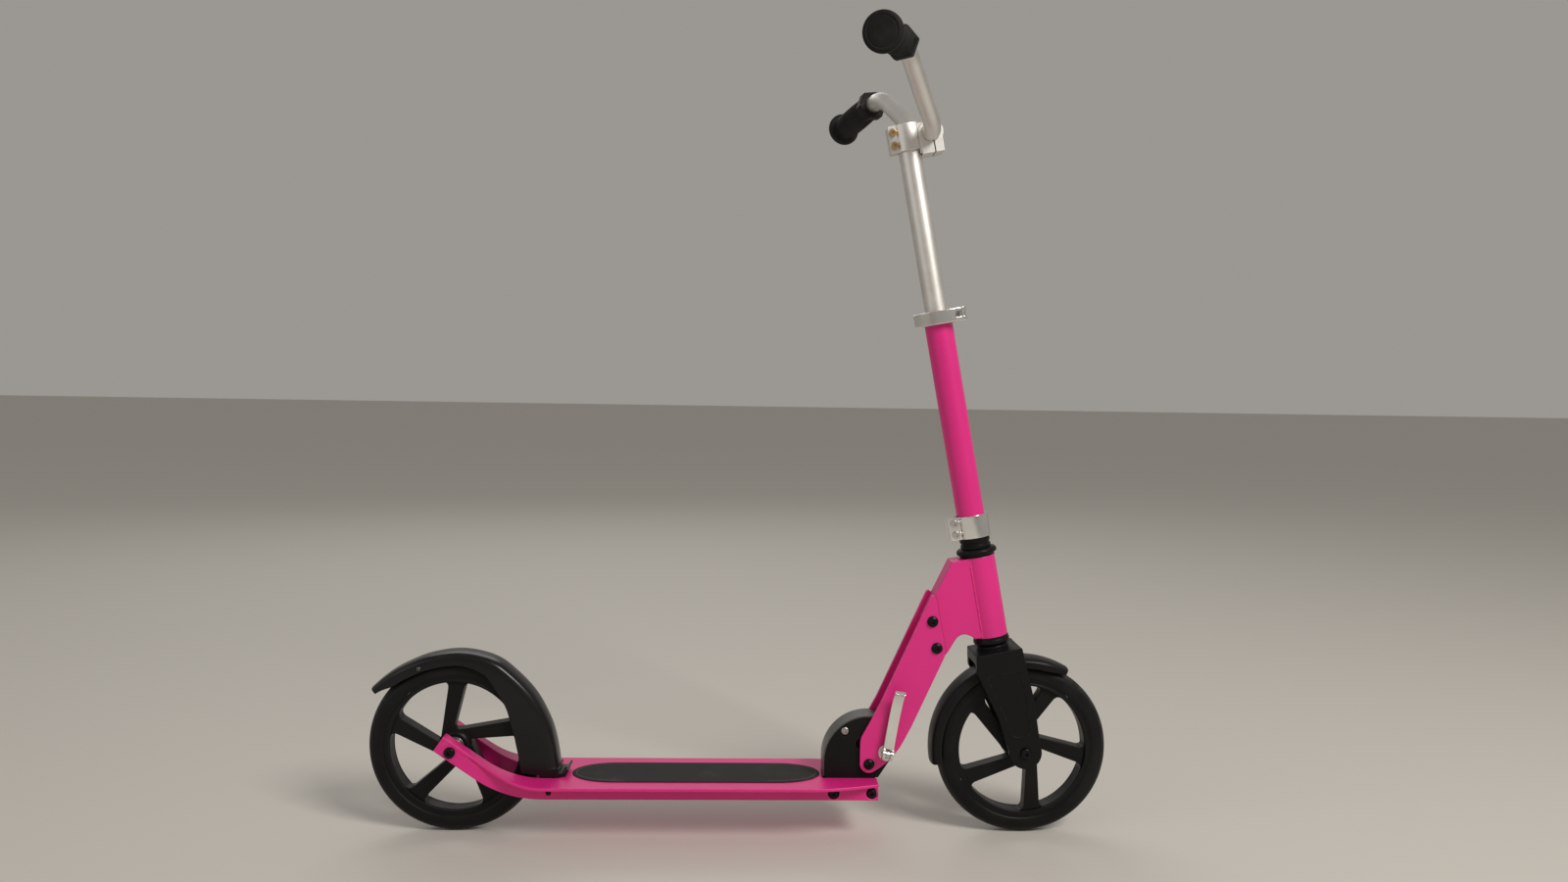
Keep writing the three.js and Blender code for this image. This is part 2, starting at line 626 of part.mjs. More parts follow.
function neckPlate() {
  const side = new THREE.Shape();
  side.moveTo(PIVOT.x - 10.5, PIVOT.z);
  side.absarc(PIVOT.x, PIVOT.z, 10.5, Math.PI, Math.PI * 1.7, false);
  side.quadraticCurveTo(503, 86, 515, 105.5);
  side.lineTo(527, 128.5);
  side.lineTo(562.5, 207);
  side.quadraticCurveTo(565.5, 213, 563.6, 222.5);
  side.lineTo(553.8, 273);
  side.quadraticCurveTo(550.5, 286.5, 546, 278.5);
  side.lineTo(489.5, 153.5);
  side.lineTo(470, 117.5);
  side.quadraticCurveTo(PIVOT.x - 10.5, 113, PIVOT.x - 10.5, 107);
  const holes = [PIVOT, SKEWER, NECK_BOLTS.upper, NECK_BOLTS.lower];
  return cut(
    prism(side, PLATE_INNER, PLATE_OUTER, 8),
    ...holes.map(({ x, z }) => rodAcross(x, z, AXLE_RADIUS + GAP, 0, 40)),
  );
}

// The head tube with the gusset welded to its back; the two plates bolt to the gusset's sides.
function headTube() {
  const side = new THREE.Shape();
  side.moveTo(573, 324);
  side.lineTo(551, 278);
  side.lineTo(539, 252);
  side.lineTo(541, 212);
  side.quadraticCurveTo(543, 204, 552, 205);
  side.lineTo(562, 206);
  side.lineTo(568.5, 214.5);
  side.lineTo(576.5, 228);
  side.quadraticCurveTo(581, 235.5, 589, 235);
  side.quadraticCurveTo(596, 233.5, 600, 229.5);
  side.lineTo(615, 232);
  side.lineTo(598, 325);
  const gusset = prism(side, -PLATE_INNER + GAP, PLATE_INNER - GAP, 8);
  const { from, to, radius, bore } = HEAD_TUBE;
  const tube = leant(rodUpright(0, 0, radius, from, to, 28));
  const hole = leant(rodUpright(0, 0, bore, from - 10, to + 10, 20));
  const bolts = Object.values(NECK_BOLTS).map(({ x, z }) => rodAcross(x, z, AXLE_RADIUS + GAP, -40, 40));
  const aboveMouth = leant(box(-80, 80, -40, 40, to, to + 80));
  return cut(join(gusset, tube), hole, aboveMouth, ...bolts);
}

// A headset cup: a skirt pressed into the head tube under a flange and a rounded ring.
function headsetCup(mouth, outward, ringRadius) {
  const at = (radius, along) => [radius, mouth + outward * along];
  return turnedUpright([
    at(14.2, -8), at(16.7, -8), at(16.7, GAP), at(20.2, GAP), at(20.4, 2.6), at(ringRadius, 4),
    at(ringRadius, 7.4), at(ringRadius - 2.4, 9.6), at(14.2, 9.6), at(14.2, -8),
  ], 20);
}

piece('neck_plate_left', neckPlate(), 'pink_paint');
piece('neck_plate_right', mirroredAcross(neckPlate()), 'pink_paint');
piece('head_tube', headTube(), 'pink_paint');
for (const [end, { x, z }] of Object.entries(NECK_BOLTS)) {
  piece(`neck_bolt_${end}`, throughBolt(x, z, AXLE_RADIUS, 6.4, PLATE_OUTER + GAP, 3.4), 'black_metal');
}
piece('pivot_bolt', throughBolt(PIVOT.x, PIVOT.z, AXLE_RADIUS, 6.3, PLATE_OUTER + GAP, 3.6), 'black_metal');
piece('headset_cup_upper', headsetCup(HEAD_TUBE.to, 1, 23.4), 'black_metal', steering);
piece('headset_cup_lower', headsetCup(HEAD_TUBE.from, -1, 21), 'black_metal', steering);

// ---------------------------------------------------------------- fold lever and skewer

const LEVER_PIN = { y: -31, tilt: THREE.MathUtils.degToRad(10) };

// The fold lever's own frame: origin on its pin, arm along +Z, pin along X.
function atLeverPin(shape) {
  return shape.rotate([0, THREE.MathUtils.radToDeg(LEVER_PIN.tilt), 0])
    .translate([SKEWER.x, LEVER_PIN.y, SKEWER.z]);
}

function rodAlongX(radius, from, to, segments = 14) {
  return turned(rodProfile(radius, from, to), segments).rotate([0, 0, -90]);
}

function skewer() {
  const shaft = turned([
    [0, LEVER_PIN.y], [2.5, LEVER_PIN.y], [2.5, -24.5], [AXLE_RADIUS, -23], [AXLE_RADIUS, 27.5], [0, 27.5],
  ]).translate([SKEWER.x, 0, SKEWER.z]);
  const eye = rodAlongX(5, -2.6, 2.6);
  const pin = rodAlongX(2.3, -7.2, 7.2, 12);
  return join(shaft, atLeverPin(join(eye, pin)));
}

function leverWasher() {
  return turned(ringProfile(AXLE_RADIUS + GAP, 9.6, -PLATE_OUTER - 2.4, -PLATE_OUTER - GAP), 20)
    .translate([SKEWER.x, 0, SKEWER.z]);
}

function skewerNut() {
  return turned([
    [AXLE_RADIUS + GAP, PLATE_OUTER + GAP], [8.2, PLATE_OUTER + GAP], [8.2, PLATE_OUTER + 4],
    [6.2, PLATE_OUTER + 6.4], [AXLE_RADIUS + GAP, PLATE_OUTER + 6.4], [AXLE_RADIUS + GAP, PLATE_OUTER + GAP],
  ]).translate([SKEWER.x, 0, SKEWER.z]);
}

// The arm bows gently away from the plate and ends in a finger lip turned outwards.
function foldLever() {
  const bow = new THREE.CatmullRomCurve3([
    new THREE.Vector3(0, -0.4, 4), new THREE.Vector3(0, 1.2, 20), new THREE.Vector3(0, 2, 38),
    new THREE.Vector3(0, 0.4, 58), new THREE.Vector3(0, -3.4, 70), new THREE.Vector3(0, -8, 75),
  ]);
  const strip = rectangle(-6.2, 6.2, -2, 2);
  const arm = solid(new THREE.ExtrudeGeometry(strip, { steps: 12, bevelEnabled: false, extrudePath: bow }));
  const cam = rodAlongX(6.6, -6.2, 6.2, 24);
  const eyeSlot = box(-3, 3, -12, 12, -12, 7);
  const pinHole = rodAlongX(2.6, -12, 12, 12);
  return atLeverPin(cut(join(arm, cam), eyeSlot, pinHole));
}

piece('skewer', skewer(), 'steel');
piece('skewer_nut', skewerNut(), 'black_metal');
piece('lever_washer', leverWasher(), 'aluminium');
piece('fold_lever', foldLever(), 'aluminium');

// ---------------------------------------------------------------- fork

function fork() {
  const leg = new THREE.Shape();
  const [axleX, , axleZ] = FRONT_AXLE;
  leg.moveTo(-25, CROWN_TOP);
  leg.lineTo(-28, 101);
  leg.quadraticCurveTo(-22, 80, -12, 46);
  leg.lineTo(-6, 7);
  leg.absarc(axleX, axleZ, 19, Math.PI * 0.9, Math.PI * 2.08, false);
  leg.lineTo(32.8, 60);
  leg.lineTo(30, 101);
  leg.lineTo(29, CROWN_TOP);
  const leftLeg = prism(leg, LEG_INNER, LEG_OUTER, 10);
  const crown = prism(outline([
    [-25, CROWN_TOP], [-27, CROWN_BOTTOM], [29.6, CROWN_BOTTOM], [29, CROWN_TOP],
  ]), -LEG_OUTER, LEG_OUTER);
  const race = rodUpright(0, 0, 18.5, CROWN_TOP - 4, 127, 24);
  const steerer = rodUpright(0, 0, STEERER_RADIUS, CROWN_TOP - 4, 292, 20);
  const bore = rodUpright(0, 0, 10.5, CROWN_TOP - 6, 300);
  const axleHole = rodAcross(axleX, axleZ, AXLE_RADIUS + GAP, -40, 40);
  return cut(join(leftLeg, mirroredAcross(leftLeg), crown, race, steerer), bore, axleHole);
}

const FRONT_FENDER = { radius: 108.6, from: 50, to: 179 };

function frontFender() {
  const { radius, from, to } = FRONT_FENDER;
  const [axleX, , axleZ] = FRONT_AXLE;
  const stations = [];
  for (let i = 0; i <= 12; i += 1) {
    const angle = from + ((to - from) * i) / 12;
    const turn = THREE.MathUtils.degToRad(angle);
    const nearTip = THREE.MathUtils.smoothstep(angle, from - 6, from + 16);
    stations.push({
      x: axleX + radius * Math.cos(turn), z: axleZ + radius * Math.sin(turn),
      nx: -Math.cos(turn), nz: -Math.sin(turn), halfWidth: 14 + 6.2 * nearTip, depth: 8 + 4.6 * nearTip,
    });
  }
  return fender(stations, 2.2);
}

piece('fork', fork(), 'black_metal', steering);
piece('front_fender', frontFender(), 'black_plastic', steering);

// ---------------------------------------------------------------- steering column

// A split clamp round the column: a ring with two ears, a slit between them and holes for its bolts.
function splitClamp({ from, to }, bore, outer, ears, boltHeights) {
  const { inner, reach, halfWidth, slit, boltX } = ears;
  const [x0, x1] = [Math.min(inner, reach), Math.max(inner, reach)];
  const ring = rodUpright(0, 0, outer, from, to, 28);
  const block = box(x0, x1, -halfWidth, halfWidth, from, to);
  const hole = rodUpright(0, 0, bore, from - 5, to + 5, 24);
  const slot = box(Math.min(0, reach * 1.3), Math.max(0, reach * 1.3), -slit, slit, from - 5, to + 5);
  const bolts = boltHeights.map((height) => rodAcross(boltX, height, 2.9, -30, 30));
  return cut(join(ring, block), hole, slot, ...bolts);
}

// A socket screw through a clamp's ears, its head on the right.
function earScrew({ boltX, halfWidth }, z) {
  const face = -halfWidth - GAP;
  const screw = turned([
    [0, face - 3.1], [3.9, face - 3.1], [4.4, face - 2.5], [4.4, face], [2.6, face],
    [2.6, halfWidth - 2], [0, halfWidth - 2],
  ], 12);
  const socket = turned(rodProfile(2, face - 4, face - 0.9), 6);
  return cut(screw, socket).translate([boltX, 0, z]);
}

const STEERER_CLAMP = { from: 254.6, to: 281 };
const STEERER_EARS = { inner: -14, reach: -28.5, halfWidth: 11, slit: 1, boltX: -22.2 };
const STEERER_SCREWS = { upper: 274.4, lower: 261.4 };
const COLLAR_EARS = { inner: 14, reach: 31, halfWidth: 9, slit: 1.2, boltX: LEVER_PIVOT.x };
const STEM_EARS = { inner: -12, reach: -22.4, halfWidth: 11, slit: 1, boltX: -17.4 };
const STEM_SCREWS = { upper: 729, lower: 714 };

piece('headset_collar', turnedUpright([
  [13.8, 242.2], [17.6, 242.2], [17.6, 246], [16.8, 246.6], [16.8, 248.6], [17.6, 249.2],
  [17.6, 254.2], [13.8, 254.2], [13.8, 242.2],
], 20), 'black_metal', steering);
piece(
  'steerer_clamp',
  splitClamp(STEERER_CLAMP, OUTER_TUBE.radius + GAP, 19.4, STEERER_EARS, Object.values(STEERER_SCREWS)),
  'aluminium', steering,
);
for (const [end, height] of Object.entries(STEERER_SCREWS)) {
  piece(`clamp_screw_${end}`, earScrew(STEERER_EARS, height), 'steel', steering);
}
piece('outer_tube', turnedUpright(
  ringProfile(OUTER_TUBE.bore, OUTER_TUBE.radius, OUTER_TUBE.from, OUTER_TUBE.to), 28,
), 'pink_paint', steering);

// ---------------------------------------------------------------- height clamp

const CLAMP_MIDDLE = (HEIGHT_CLAMP.from + HEIGHT_CLAMP.to) / 2;

// The eyebolt: an eye and pin that the lever turns on, and a shaft through both ears to its nut.
function clampEyebolt() {
  const shaft = rodAcross(LEVER_PIVOT.x, CLAMP_MIDDLE, 2.6, LEVER_PIVOT.y, 12);
  const nut = rodAcross(LEVER_PIVOT.x, CLAMP_MIDDLE, 5, COLLAR_EARS.halfWidth + GAP, 13, 16);
  const eye = rodUpright(LEVER_PIVOT.x, LEVER_PIVOT.y, 4.4, CLAMP_MIDDLE - 2.8, CLAMP_MIDDLE + 2.8, 14);
  const pin = rodUpright(LEVER_PIVOT.x, LEVER_PIVOT.y, 2.1, HEIGHT_CLAMP.from + 1, HEIGHT_CLAMP.to - 1, 10);
  return join(shaft, nut, eye, pin);
}

// The lever lies along the clamp's right side and curls round behind it.
function clampLever() {
  const path = new THREE.CatmullRomCurve3([
    new THREE.Vector3(LEVER_PIVOT.x - 1, LEVER_PIVOT.y - 3.9, 0), new THREE.Vector3(12, -22.4, 0),
    new THREE.Vector3(0, -22.9, 0), new THREE.Vector3(-11, -20.8, 0), new THREE.Vector3(-20.5, -14.6, 0),
    new THREE.Vector3(-27, -5, 0),
  ]);
  const band = rectangle(-7.4, 7.4, -1.7, 1.7);
  const arm = solid(new THREE.ExtrudeGeometry(band, { steps: 14, bevelEnabled: false, extrudePath: path }));
  const cam = rodUpright(LEVER_PIVOT.x, LEVER_PIVOT.y, 5.8, -7.4, 7.4, 18);
  const pinHole = rodUpright(LEVER_PIVOT.x, LEVER_PIVOT.y, 2.4, -12, 12, 10);
  const eyeSlot = box(17.5, 40, -30, 0, -3.3, 3.3);
  return cut(join(arm, cam), pinHole, eyeSlot).translate([0, 0, CLAMP_MIDDLE]);
}

piece(
  'height_collar',
  splitClamp(HEIGHT_CLAMP, OUTER_TUBE.radius + GAP, 19.8, COLLAR_EARS, [CLAMP_MIDDLE]),
  'aluminium', steering,
);
piece('clamp_eyebolt', clampEyebolt(), 'steel', steering);
piece('clamp_lever', clampLever(), 'aluminium', steering);

// ---------------------------------------------------------------- stem, handlebar and grips

function innerTube() {
  const { from, to, radius, bore } = INNER_TUBE;
  return turnedUpright([[bore, from], [radius, from], [radius, to], [0, to], [0, to - 2.5], [bore, to - 2.5],
    [bore, from]], 24);
}

const LUG = { face: 37.6, bottom: 699, boltZ: 705.2 };

// The stem clamp holds the tube between its rear ears, and the bar in a split lug at the front.
function stemClamp() {
  const tubeGrip = splitClamp(
    STEM_CLAMP, INNER_TUBE.radius + GAP, 17.2, STEM_EARS, Object.values(STEM_SCREWS),
  );
  const barRing = rodAcross(BAR.x, BAR.z, 14.6, -16, 16, 24);
  const bridge = box(10, BAR.x, -14, 14, 701, STEM_CLAMP.to - 1);
  const lug = box(12, LUG.face, -16, 16, LUG.bottom, BAR.z);
  const tubeHole = rodUpright(0, 0, INNER_TUBE.radius + GAP, 680, 760, 24);
  const barHole = rodAcross(BAR.x, BAR.z, BAR.radius + GAP, -30, 30, 20);
  const barSlit = box(BAR.x + 1.4, BAR.x + 2.8, -30, 30, 680, BAR.z);
  const pinchHole = join(rodAlongX(2.9, 19, 60, 12), rodAlongX(4.7, LUG.face - 4, 60));
  const lugBody = cut(join(barRing, bridge, lug), tubeHole);
  return cut(join(tubeGrip, lugBody), barHole, barSlit, pinchHole.translate([0, 0, LUG.boltZ]));
}

function pinchBolt() {
  const head = rodAlongX(4.2, LUG.face - 4 + GAP, LUG.face - 0.4);
  const shaft = rodAlongX(2.6, 20, LUG.face - 3, 12);
  const socket = rodAlongX(2, LUG.face - 2.2, LUG.face + 2, 6);
  return cut(join(head, shaft), socket).translate([0, 0, LUG.boltZ]);
}

// Points along straight runs between the corners, each corner rounded over its own trim length.
function roundedPath(corners, trims) {
  const last = corners.length - 1;
  const points = [corners[0]];
  for (let i = 1; i < last; i += 1) {
    const corner = corners[i];
    const before = corner.clone().add(corners[i - 1].clone().sub(corner).setLength(trims[i - 1]));
    const after = corner.clone().add(corners[i + 1].clone().sub(corner).setLength(trims[i - 1]));
    points.push(...new THREE.QuadraticBezierCurve3(before, corner, after).getPoints(5));
  }
  points.push(corners[last]);
  return points;
}

// A round bar through the points; each section faces along the path, its first corner towards +X.
function barAlong(points, radius, sides) {
  const turns = Array.from({ length: sides }, (_, k) => (2 * Math.PI * k) / sides);
  const flat = turns.map((turn) => new THREE.Vector2(radius * Math.cos(turn), radius * Math.sin(turn)));
  const sections = points.map((point, i) => {
    const ahead = points[Math.min(i + 1, points.length - 1)];
    const behind = points[Math.max(i - 1, 0)];
    const along = ahead.clone().sub(behind).normalize();
    const up = new THREE.Vector3(1, 0, 0).cross(along).normalize();
    const out = along.clone().cross(up);
    return flat.map((p) => point.clone().addScaledVector(out, p.x).addScaledVector(up, p.y));
  });
  return loft(sections, flat);
}

function acrossY(point) {
  return new THREE.Vector3(point.x, -point.y, point.z);
}

function handlebar() {
  const end = GRIP_END.clone().lerp(GRIP_BEND, BAR_SHORT / GRIP_END.distanceTo(GRIP_BEND));
  const corners = [acrossY(end), acrossY(GRIP_BEND), acrossY(BAR_BEND), BAR_BEND, GRIP_BEND, end];
  const points = roundedPath(corners, [22, 20, 20, 22]);
  const bore = points.slice();
  bore[0] = acrossY(GRIP_END);
  bore[bore.length - 1] = GRIP_END;
  return cut(barAlong(points, BAR.radius, 16), barAlong(bore, BAR.radius - 2.2, 10));
}

// A grip along +Y from its six-sided inner flange to its round end, hollow for the bar.
function grip() {
  const end = GRIP_LENGTH;
  const sleeve = turned([
    [0, 4], [14.2, 4], [15.3, 18], [15.6, 45], [15.2, 72], [14.8, 85], [19.2, 87.5], [20.5, 90.5],
    [20.5, 93.5], [19, end - 1], [14, end], [0, end],
  ]);
  const flange = turned([[0, 0], [17, 0], [18.8, 2], [18.8, 12], [15, 17], [0, 17]], 6);
  const hole = turned(rodProfile(BAR.radius + GAP, -5, end - 5.4));
  return cut(join(sleeve, flange), hole);
}

function leftGrip() {
  const direction = GRIP_END.clone().sub(GRIP_BEND).normalize();
  const place = new THREE.Matrix4().makeRotationFromQuaternion(
    new THREE.Quaternion().setFromUnitVectors(new THREE.Vector3(0, 1, 0), direction),
  );
  place.setPosition(GRIP_END.clone().addScaledVector(direction, -GRIP_LENGTH));
  return grip().transform(place.toArray());
}

piece('inner_tube', innerTube(), 'aluminium', steering);
piece('stem_clamp', stemClamp(), 'aluminium', steering);
for (const [end, height] of Object.entries(STEM_SCREWS)) {
  piece(`stem_screw_${end}`, earScrew(STEM_EARS, height), 'steel', steering);
}
piece('pinch_bolt', pinchBolt(), 'steel', steering);
piece('handlebar', handlebar(), 'aluminium', steering);
piece('grip_left', leftGrip(), 'rubber', steering);
piece('grip_right', mirroredAcross(leftGrip()), 'rubber', steering);

export default scooter;
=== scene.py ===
"""Looks for a folding kick scooter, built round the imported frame.

Pieces are drawn in millimetres. The scooter's own drawing frame has its origin on the floor under
the rear axle; the steering parts are drawn upright about the steering axis and then leant back.
"""

import math

import bmesh
import bpy
from mathutils import Matrix, Vector, geometry


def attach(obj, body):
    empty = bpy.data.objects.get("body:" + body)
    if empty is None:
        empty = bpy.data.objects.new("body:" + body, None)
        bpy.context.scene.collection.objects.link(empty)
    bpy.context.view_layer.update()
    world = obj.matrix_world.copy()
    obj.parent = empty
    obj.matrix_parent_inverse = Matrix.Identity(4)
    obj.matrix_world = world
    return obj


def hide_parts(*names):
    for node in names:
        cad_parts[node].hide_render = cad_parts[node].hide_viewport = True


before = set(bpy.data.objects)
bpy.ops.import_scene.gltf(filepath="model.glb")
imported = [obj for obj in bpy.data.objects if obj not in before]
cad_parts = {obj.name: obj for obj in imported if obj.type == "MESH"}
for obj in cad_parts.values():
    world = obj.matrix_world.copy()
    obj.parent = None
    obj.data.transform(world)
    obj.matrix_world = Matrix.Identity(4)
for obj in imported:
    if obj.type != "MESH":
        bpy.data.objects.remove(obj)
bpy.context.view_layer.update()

# ---------------------------------------------------------------- sizes, in millimetres

WHEEL_RADIUS = 100
WHEELBASE = 659
RAKE = math.radians(10.8)
FORK_OFFSET = 12.7

MILLIMETRES = Matrix.Scale(0.001, 4)
SCOOTER = Matrix.Translation((-WHEELBASE / 2000, 0, 0)) @ MILLIMETRES
STEERING = SCOOTER @ Matrix.Translation((
    WHEELBASE - FORK_OFFSET * math.cos(RAKE), 0, WHEEL_RADIUS - FORK_OFFSET * math.sin(RAKE),
)) @ Matrix.Rotation(-RAKE, 4, "Y")

DECK_TOP = 66
DECK_DEPTH = 20
DECK_FRONT = 488
BRAKE_PIN = (111.3, 54.2)
BLOCK_CENTRE = (478, 86)
BLOCK_RADIUS = 51
PIVOT = (478, 84)
SKEWER = (498, 98)
FOLD_RANGE = 77
DECK_HALF_WIDTH = 57
BOX_HALF_WIDTH = 36
TAPE_REAR, TAPE_FRONT = 184, 372
BLOCK_BOLTS = {"rear": (436.5, 54.2), "front": (480.5, 54.2)}
BLOCK_HALF_WIDTH = 16
BOLT_HOLE = 4.3
PIN_HOLE = 3.3

# along the steering axis, from the height of the front axle's foot on it
HEAD_LOW, HEAD_HIGH = 137, 232
CROWN_TOP = 121.5
CLAMP_SCREWS = {"upper": 274.4, "lower": 261.4}
CLAMP_SCREW_X = -22.2
CLAMP_MIDDLE = 513
LEVER_PIVOT = (26, -15.3)
STEM_SCREWS = {"upper": 729, "lower": 714}
STEM_SCREW_X = -17.4
SCREW_HOLE = 2.9
BAR = (25, 722)
BAR_RADIUS = 10.2
BAR_HOLE = 10.5
LUG_BOLT = 705.2

FLAT_ANGLE = math.radians(0.5)


# ---------------------------------------------------------------- outlines

def arc(x, y, radius, start, end, steps=24):
    """Points along an arc, from one angle to another, in degrees."""
    turns = [math.radians(start + (end - start) * i / steps) for i in range(steps + 1)]
    return [(x + radius * math.cos(t), y + radius * math.sin(t)) for t in turns]


def bezier(points, steps=16):
    """Points along a Bezier curve of any degree, its first point left out."""
    made = []
    for i in range(1, steps + 1):
        t = i / steps
        row = [Vector(p) for p in points]
        while len(row) > 1:
            row = [a.lerp(b, t) for a, b in zip(row, row[1:])]
        made.append(tuple(row[0]))
    return made


def filleted(corners, steps=5, closed=True):
    """Corners are (x, y) or (x, y, fillet); each fillet is cut that far along both of its edges."""
    made = []
    count = len(corners)
    for i, corner in enumerate(corners):
        here = Vector(corner[:2])
        ends = not closed and i in (0, count - 1)
        if len(corner) < 3 or ends:
            made.append(tuple(here))
            continue
        before, after = Vector(corners[i - 1][:2]), Vector(corners[(i + 1) % count][:2])
        first = here + (before - here).normalized() * corner[2]
        last = here + (after - here).normalized() * corner[2]
        made.append(tuple(first))
        made.extend(bezier([first, here, last], steps))
    return made


def both_sides(half):
    """A whole (radius, height, fillet) profile from its upper half, outermost corner first."""
    return [(r, -h, *rest) for r, h, *rest in half[::-1]] + half


def catmull(points, count):
    """Evenly spaced points and directions along a smooth curve through the given points."""
    dense = []
    for i in range(len(points) - 1):
        p = [Vector(points[max(0, min(len(points) - 1, i + k))]) for k in (-1, 0, 1, 2)]
        for j in range(24):
            t = j / 24
            v0, v1 = (p[2] - p[0]) * 0.5, (p[3] - p[1]) * 0.5
            dense.append(
                (2 * p[1] - 2 * p[2] + v0 + v1) * t ** 3
                + (-3 * p[1] + 3 * p[2] - 2 * v0 - v1) * t ** 2 + v0 * t + p[1]
            )
    dense.append(Vector(points[-1]))
    lengths = [0.0]
    for a, b in zip(dense, dense[1:]):
        lengths.append(lengths[-1] + (b - a).length)
    made = []
    k = 0
    for i in range(count + 1):
        target = lengths[-1] * i / count
        while k < len(dense) - 2 and lengths[k + 1] < target:
            k += 1
        share = (target - lengths[k]) / (lengths[k + 1] - lengths[k])
        made.append((dense[k].lerp(dense[k + 1], share), (dense[k + 1] - dense[k]).normalized()))
    return made


def smoothstep(value, low, high):
    t = max(0.0, min(1.0, (value - low) / (high - low)))
    return t * t * (3 - 2 * t)


# ---------------------------------------------------------------- solids

def solid(rows, faces):
    """A closed mesh object from vertex positions and faces, its faces turned outwards."""
    mesh = bpy.data.meshes.new("solid")
    mesh.from_pydata([tuple(v) for v in rows], [], faces)
    work = bmesh.new()
    work.from_mesh(mesh)
    bmesh.ops.remove_doubles(work, verts=work.verts, dist=1e-4)
    bmesh.ops.recalc_face_normals(work, faces=work.faces)
    if work.calc_volume(signed=True) < 0:
        bmesh.ops.reverse_faces(work, faces=work.faces)
    work.to_mesh(mesh)
    work.free()
    made = bpy.data.objects.new("solid", mesh)
    bpy.context.scene.collection.objects.link(made)
    return made


def extruded(outline, low, high, place):
    """A flat outline carried from low to high; place turns (u, v, height) into a point."""
    count = len(outline)
    rows = [place(u, v, low) for u, v in outline] + [place(u, v, high) for u, v in outline]
    faces = [[i, (i + 1) % count, (i + 1) % count + count, i + count] for i in range(count)]
    flat = geometry.tessellate_polygon([[Vector((u, v, 0)) for u, v in outline]])
    faces += [list(t) for t in flat] + [[i + count for i in t] for t in flat]
    return solid(rows, faces)


def prism(outline, y0, y1):
    """An outline in X and Z, carried along Y."""
    return dissolved(extruded(outline, y0, y1, lambda u, v, h: (u, h, v)))


def slab(outline, z0, z1):
    """An outline in X and Y, carried along Z."""
    return dissolved(extruded(outline, z0, z1, lambda u, v, h: (u, v, h)))


def box(x0, x1, y0, y1, z0, z1):
    return slab([(x0, y0), (x1, y0), (x1, y1), (x0, y1)], z0, z1)


def turned(profile, segments=72, closed=False):
    """A (radius, height) profile turned about the Y axis."""
    rows, rings = [], []
    for radius, height in profile:
        if radius < 1e-6:
            rings.append([len(rows)] * segments)
            rows.append((0, height, 0))
            continue
        rings.append(list(range(len(rows), len(rows) + segments)))
        for i in range(segments):
            turn = 2 * math.pi * i / segments
            rows.append((radius * math.cos(turn), height, radius * math.sin(turn)))
    faces = []
    pairs = list(zip(rings, rings[1:])) + ([(rings[-1], rings[0])] if closed else [])
    for a, b in pairs:
        for i in range(segments):
            j = (i + 1) % segments
            face = list(dict.fromkeys([a[i], a[j], b[j], b[i]]))
            if len(face) > 2:
                faces.append(face)
    return solid(rows, faces)


def turned_to(axis, profile, segments=72, closed=False):
    """The same profile with its axis along X or Z."""
    turn = {"X": Matrix.Rotation(-math.pi / 2, 4, "Z"), "Z": Matrix.Rotation(math.pi / 2, 4, "X")}[axis]
    return moved(turned(profile, segments, closed), turn)


def upright(profile, segments=72, closed=False):
    return turned_to("Z", profile, segments, closed)


def rod(radius, low, high, edge=0.0):
    """The profile of a round bar whose end edges are rounded off."""
    if edge == 0:
        return [(0, low), (radius, low), (radius, high), (0, high)]
    return filleted([(0, low), (radius, low, edge), (radius, high, edge), (0, high)], 4, closed=False)


def ring(inner, outer, low, high, edge=0.4):
    corners = [(inner, low), (outer, low), (outer, high), (inner, high)]
    return filleted([(r, h, edge) for r, h in corners], 3)


def across(x, z, profile, segments=48, closed=False):
    """A turned profile along Y through the point x, z."""
    return moved(turned(profile, segments, closed), Matrix.Translation((x, 0, z)))


def side_hole(place, radius, reach=30):
    """A cutter for a round hole from side to side at an (x, z) place."""
    return across(*place, rod(radius, -reach, reach))


def moved(made, matrix):
    made.data.transform(matrix)
    if matrix.determinant() < 0:
        made.data.flip_normals()
    return made


def shifted(made, x, y, z):
    return moved(made, Matrix.Translation((x, y, z)))


def copied(made):
    again = made.copy()
    again.data = made.data.copy()
    bpy.context.scene.collection.objects.link(again)
    return again


def mirrored(made):
    """The same solid on the other side of the scooter's middle plane."""
    return moved(copied(made), Matrix.Scale(-1, 4, (0, 1, 0)))


def applied(made):
    """The object with its modifiers worked into its mesh."""
    graph = bpy.context.evaluated_depsgraph_get()
    mesh = bpy.data.meshes.new_from_object(made.evaluated_get(graph))
    made.modifiers.clear()
    made.data = mesh
    return made


def combined(operation, whole, others):
    for other in others:
        change = whole.modifiers.new("combine", "BOOLEAN")
        change.operation = operation
        change.solver = "MANIFOLD"
        change.object = other
    applied(whole)
    for other in others:
        bpy.data.objects.remove(other)
    return whole


def join(whole, *others):
    return combined("UNION", whole, others)


def cut(whole, *others):
    return combined("DIFFERENCE", whole, others)


def meet(whole, *others):
    return combined("INTERSECT", whole, others)


def dissolved(made):
    """Merges the flat triangles of a solid back into whole faces."""
    work = bmesh.new()
    work.from_mesh(made.data)
    bmesh.ops.dissolve_limit(work, angle_limit=FLAT_ANGLE, verts=work.verts, edges=work.edges)
    work.to_mesh(made.data)
    work.free()
    return made


def split_up(made):
    """Cuts faces of more than four corners into triangles, so none spans a hole."""
    work = bmesh.new()
    work.from_mesh(made.data)
    large = [face for face in work.faces if len(face.verts) > 4]
    bmesh.ops.triangulate(work, faces=large)
    work.to_mesh(made.data)
    work.free()
    return made


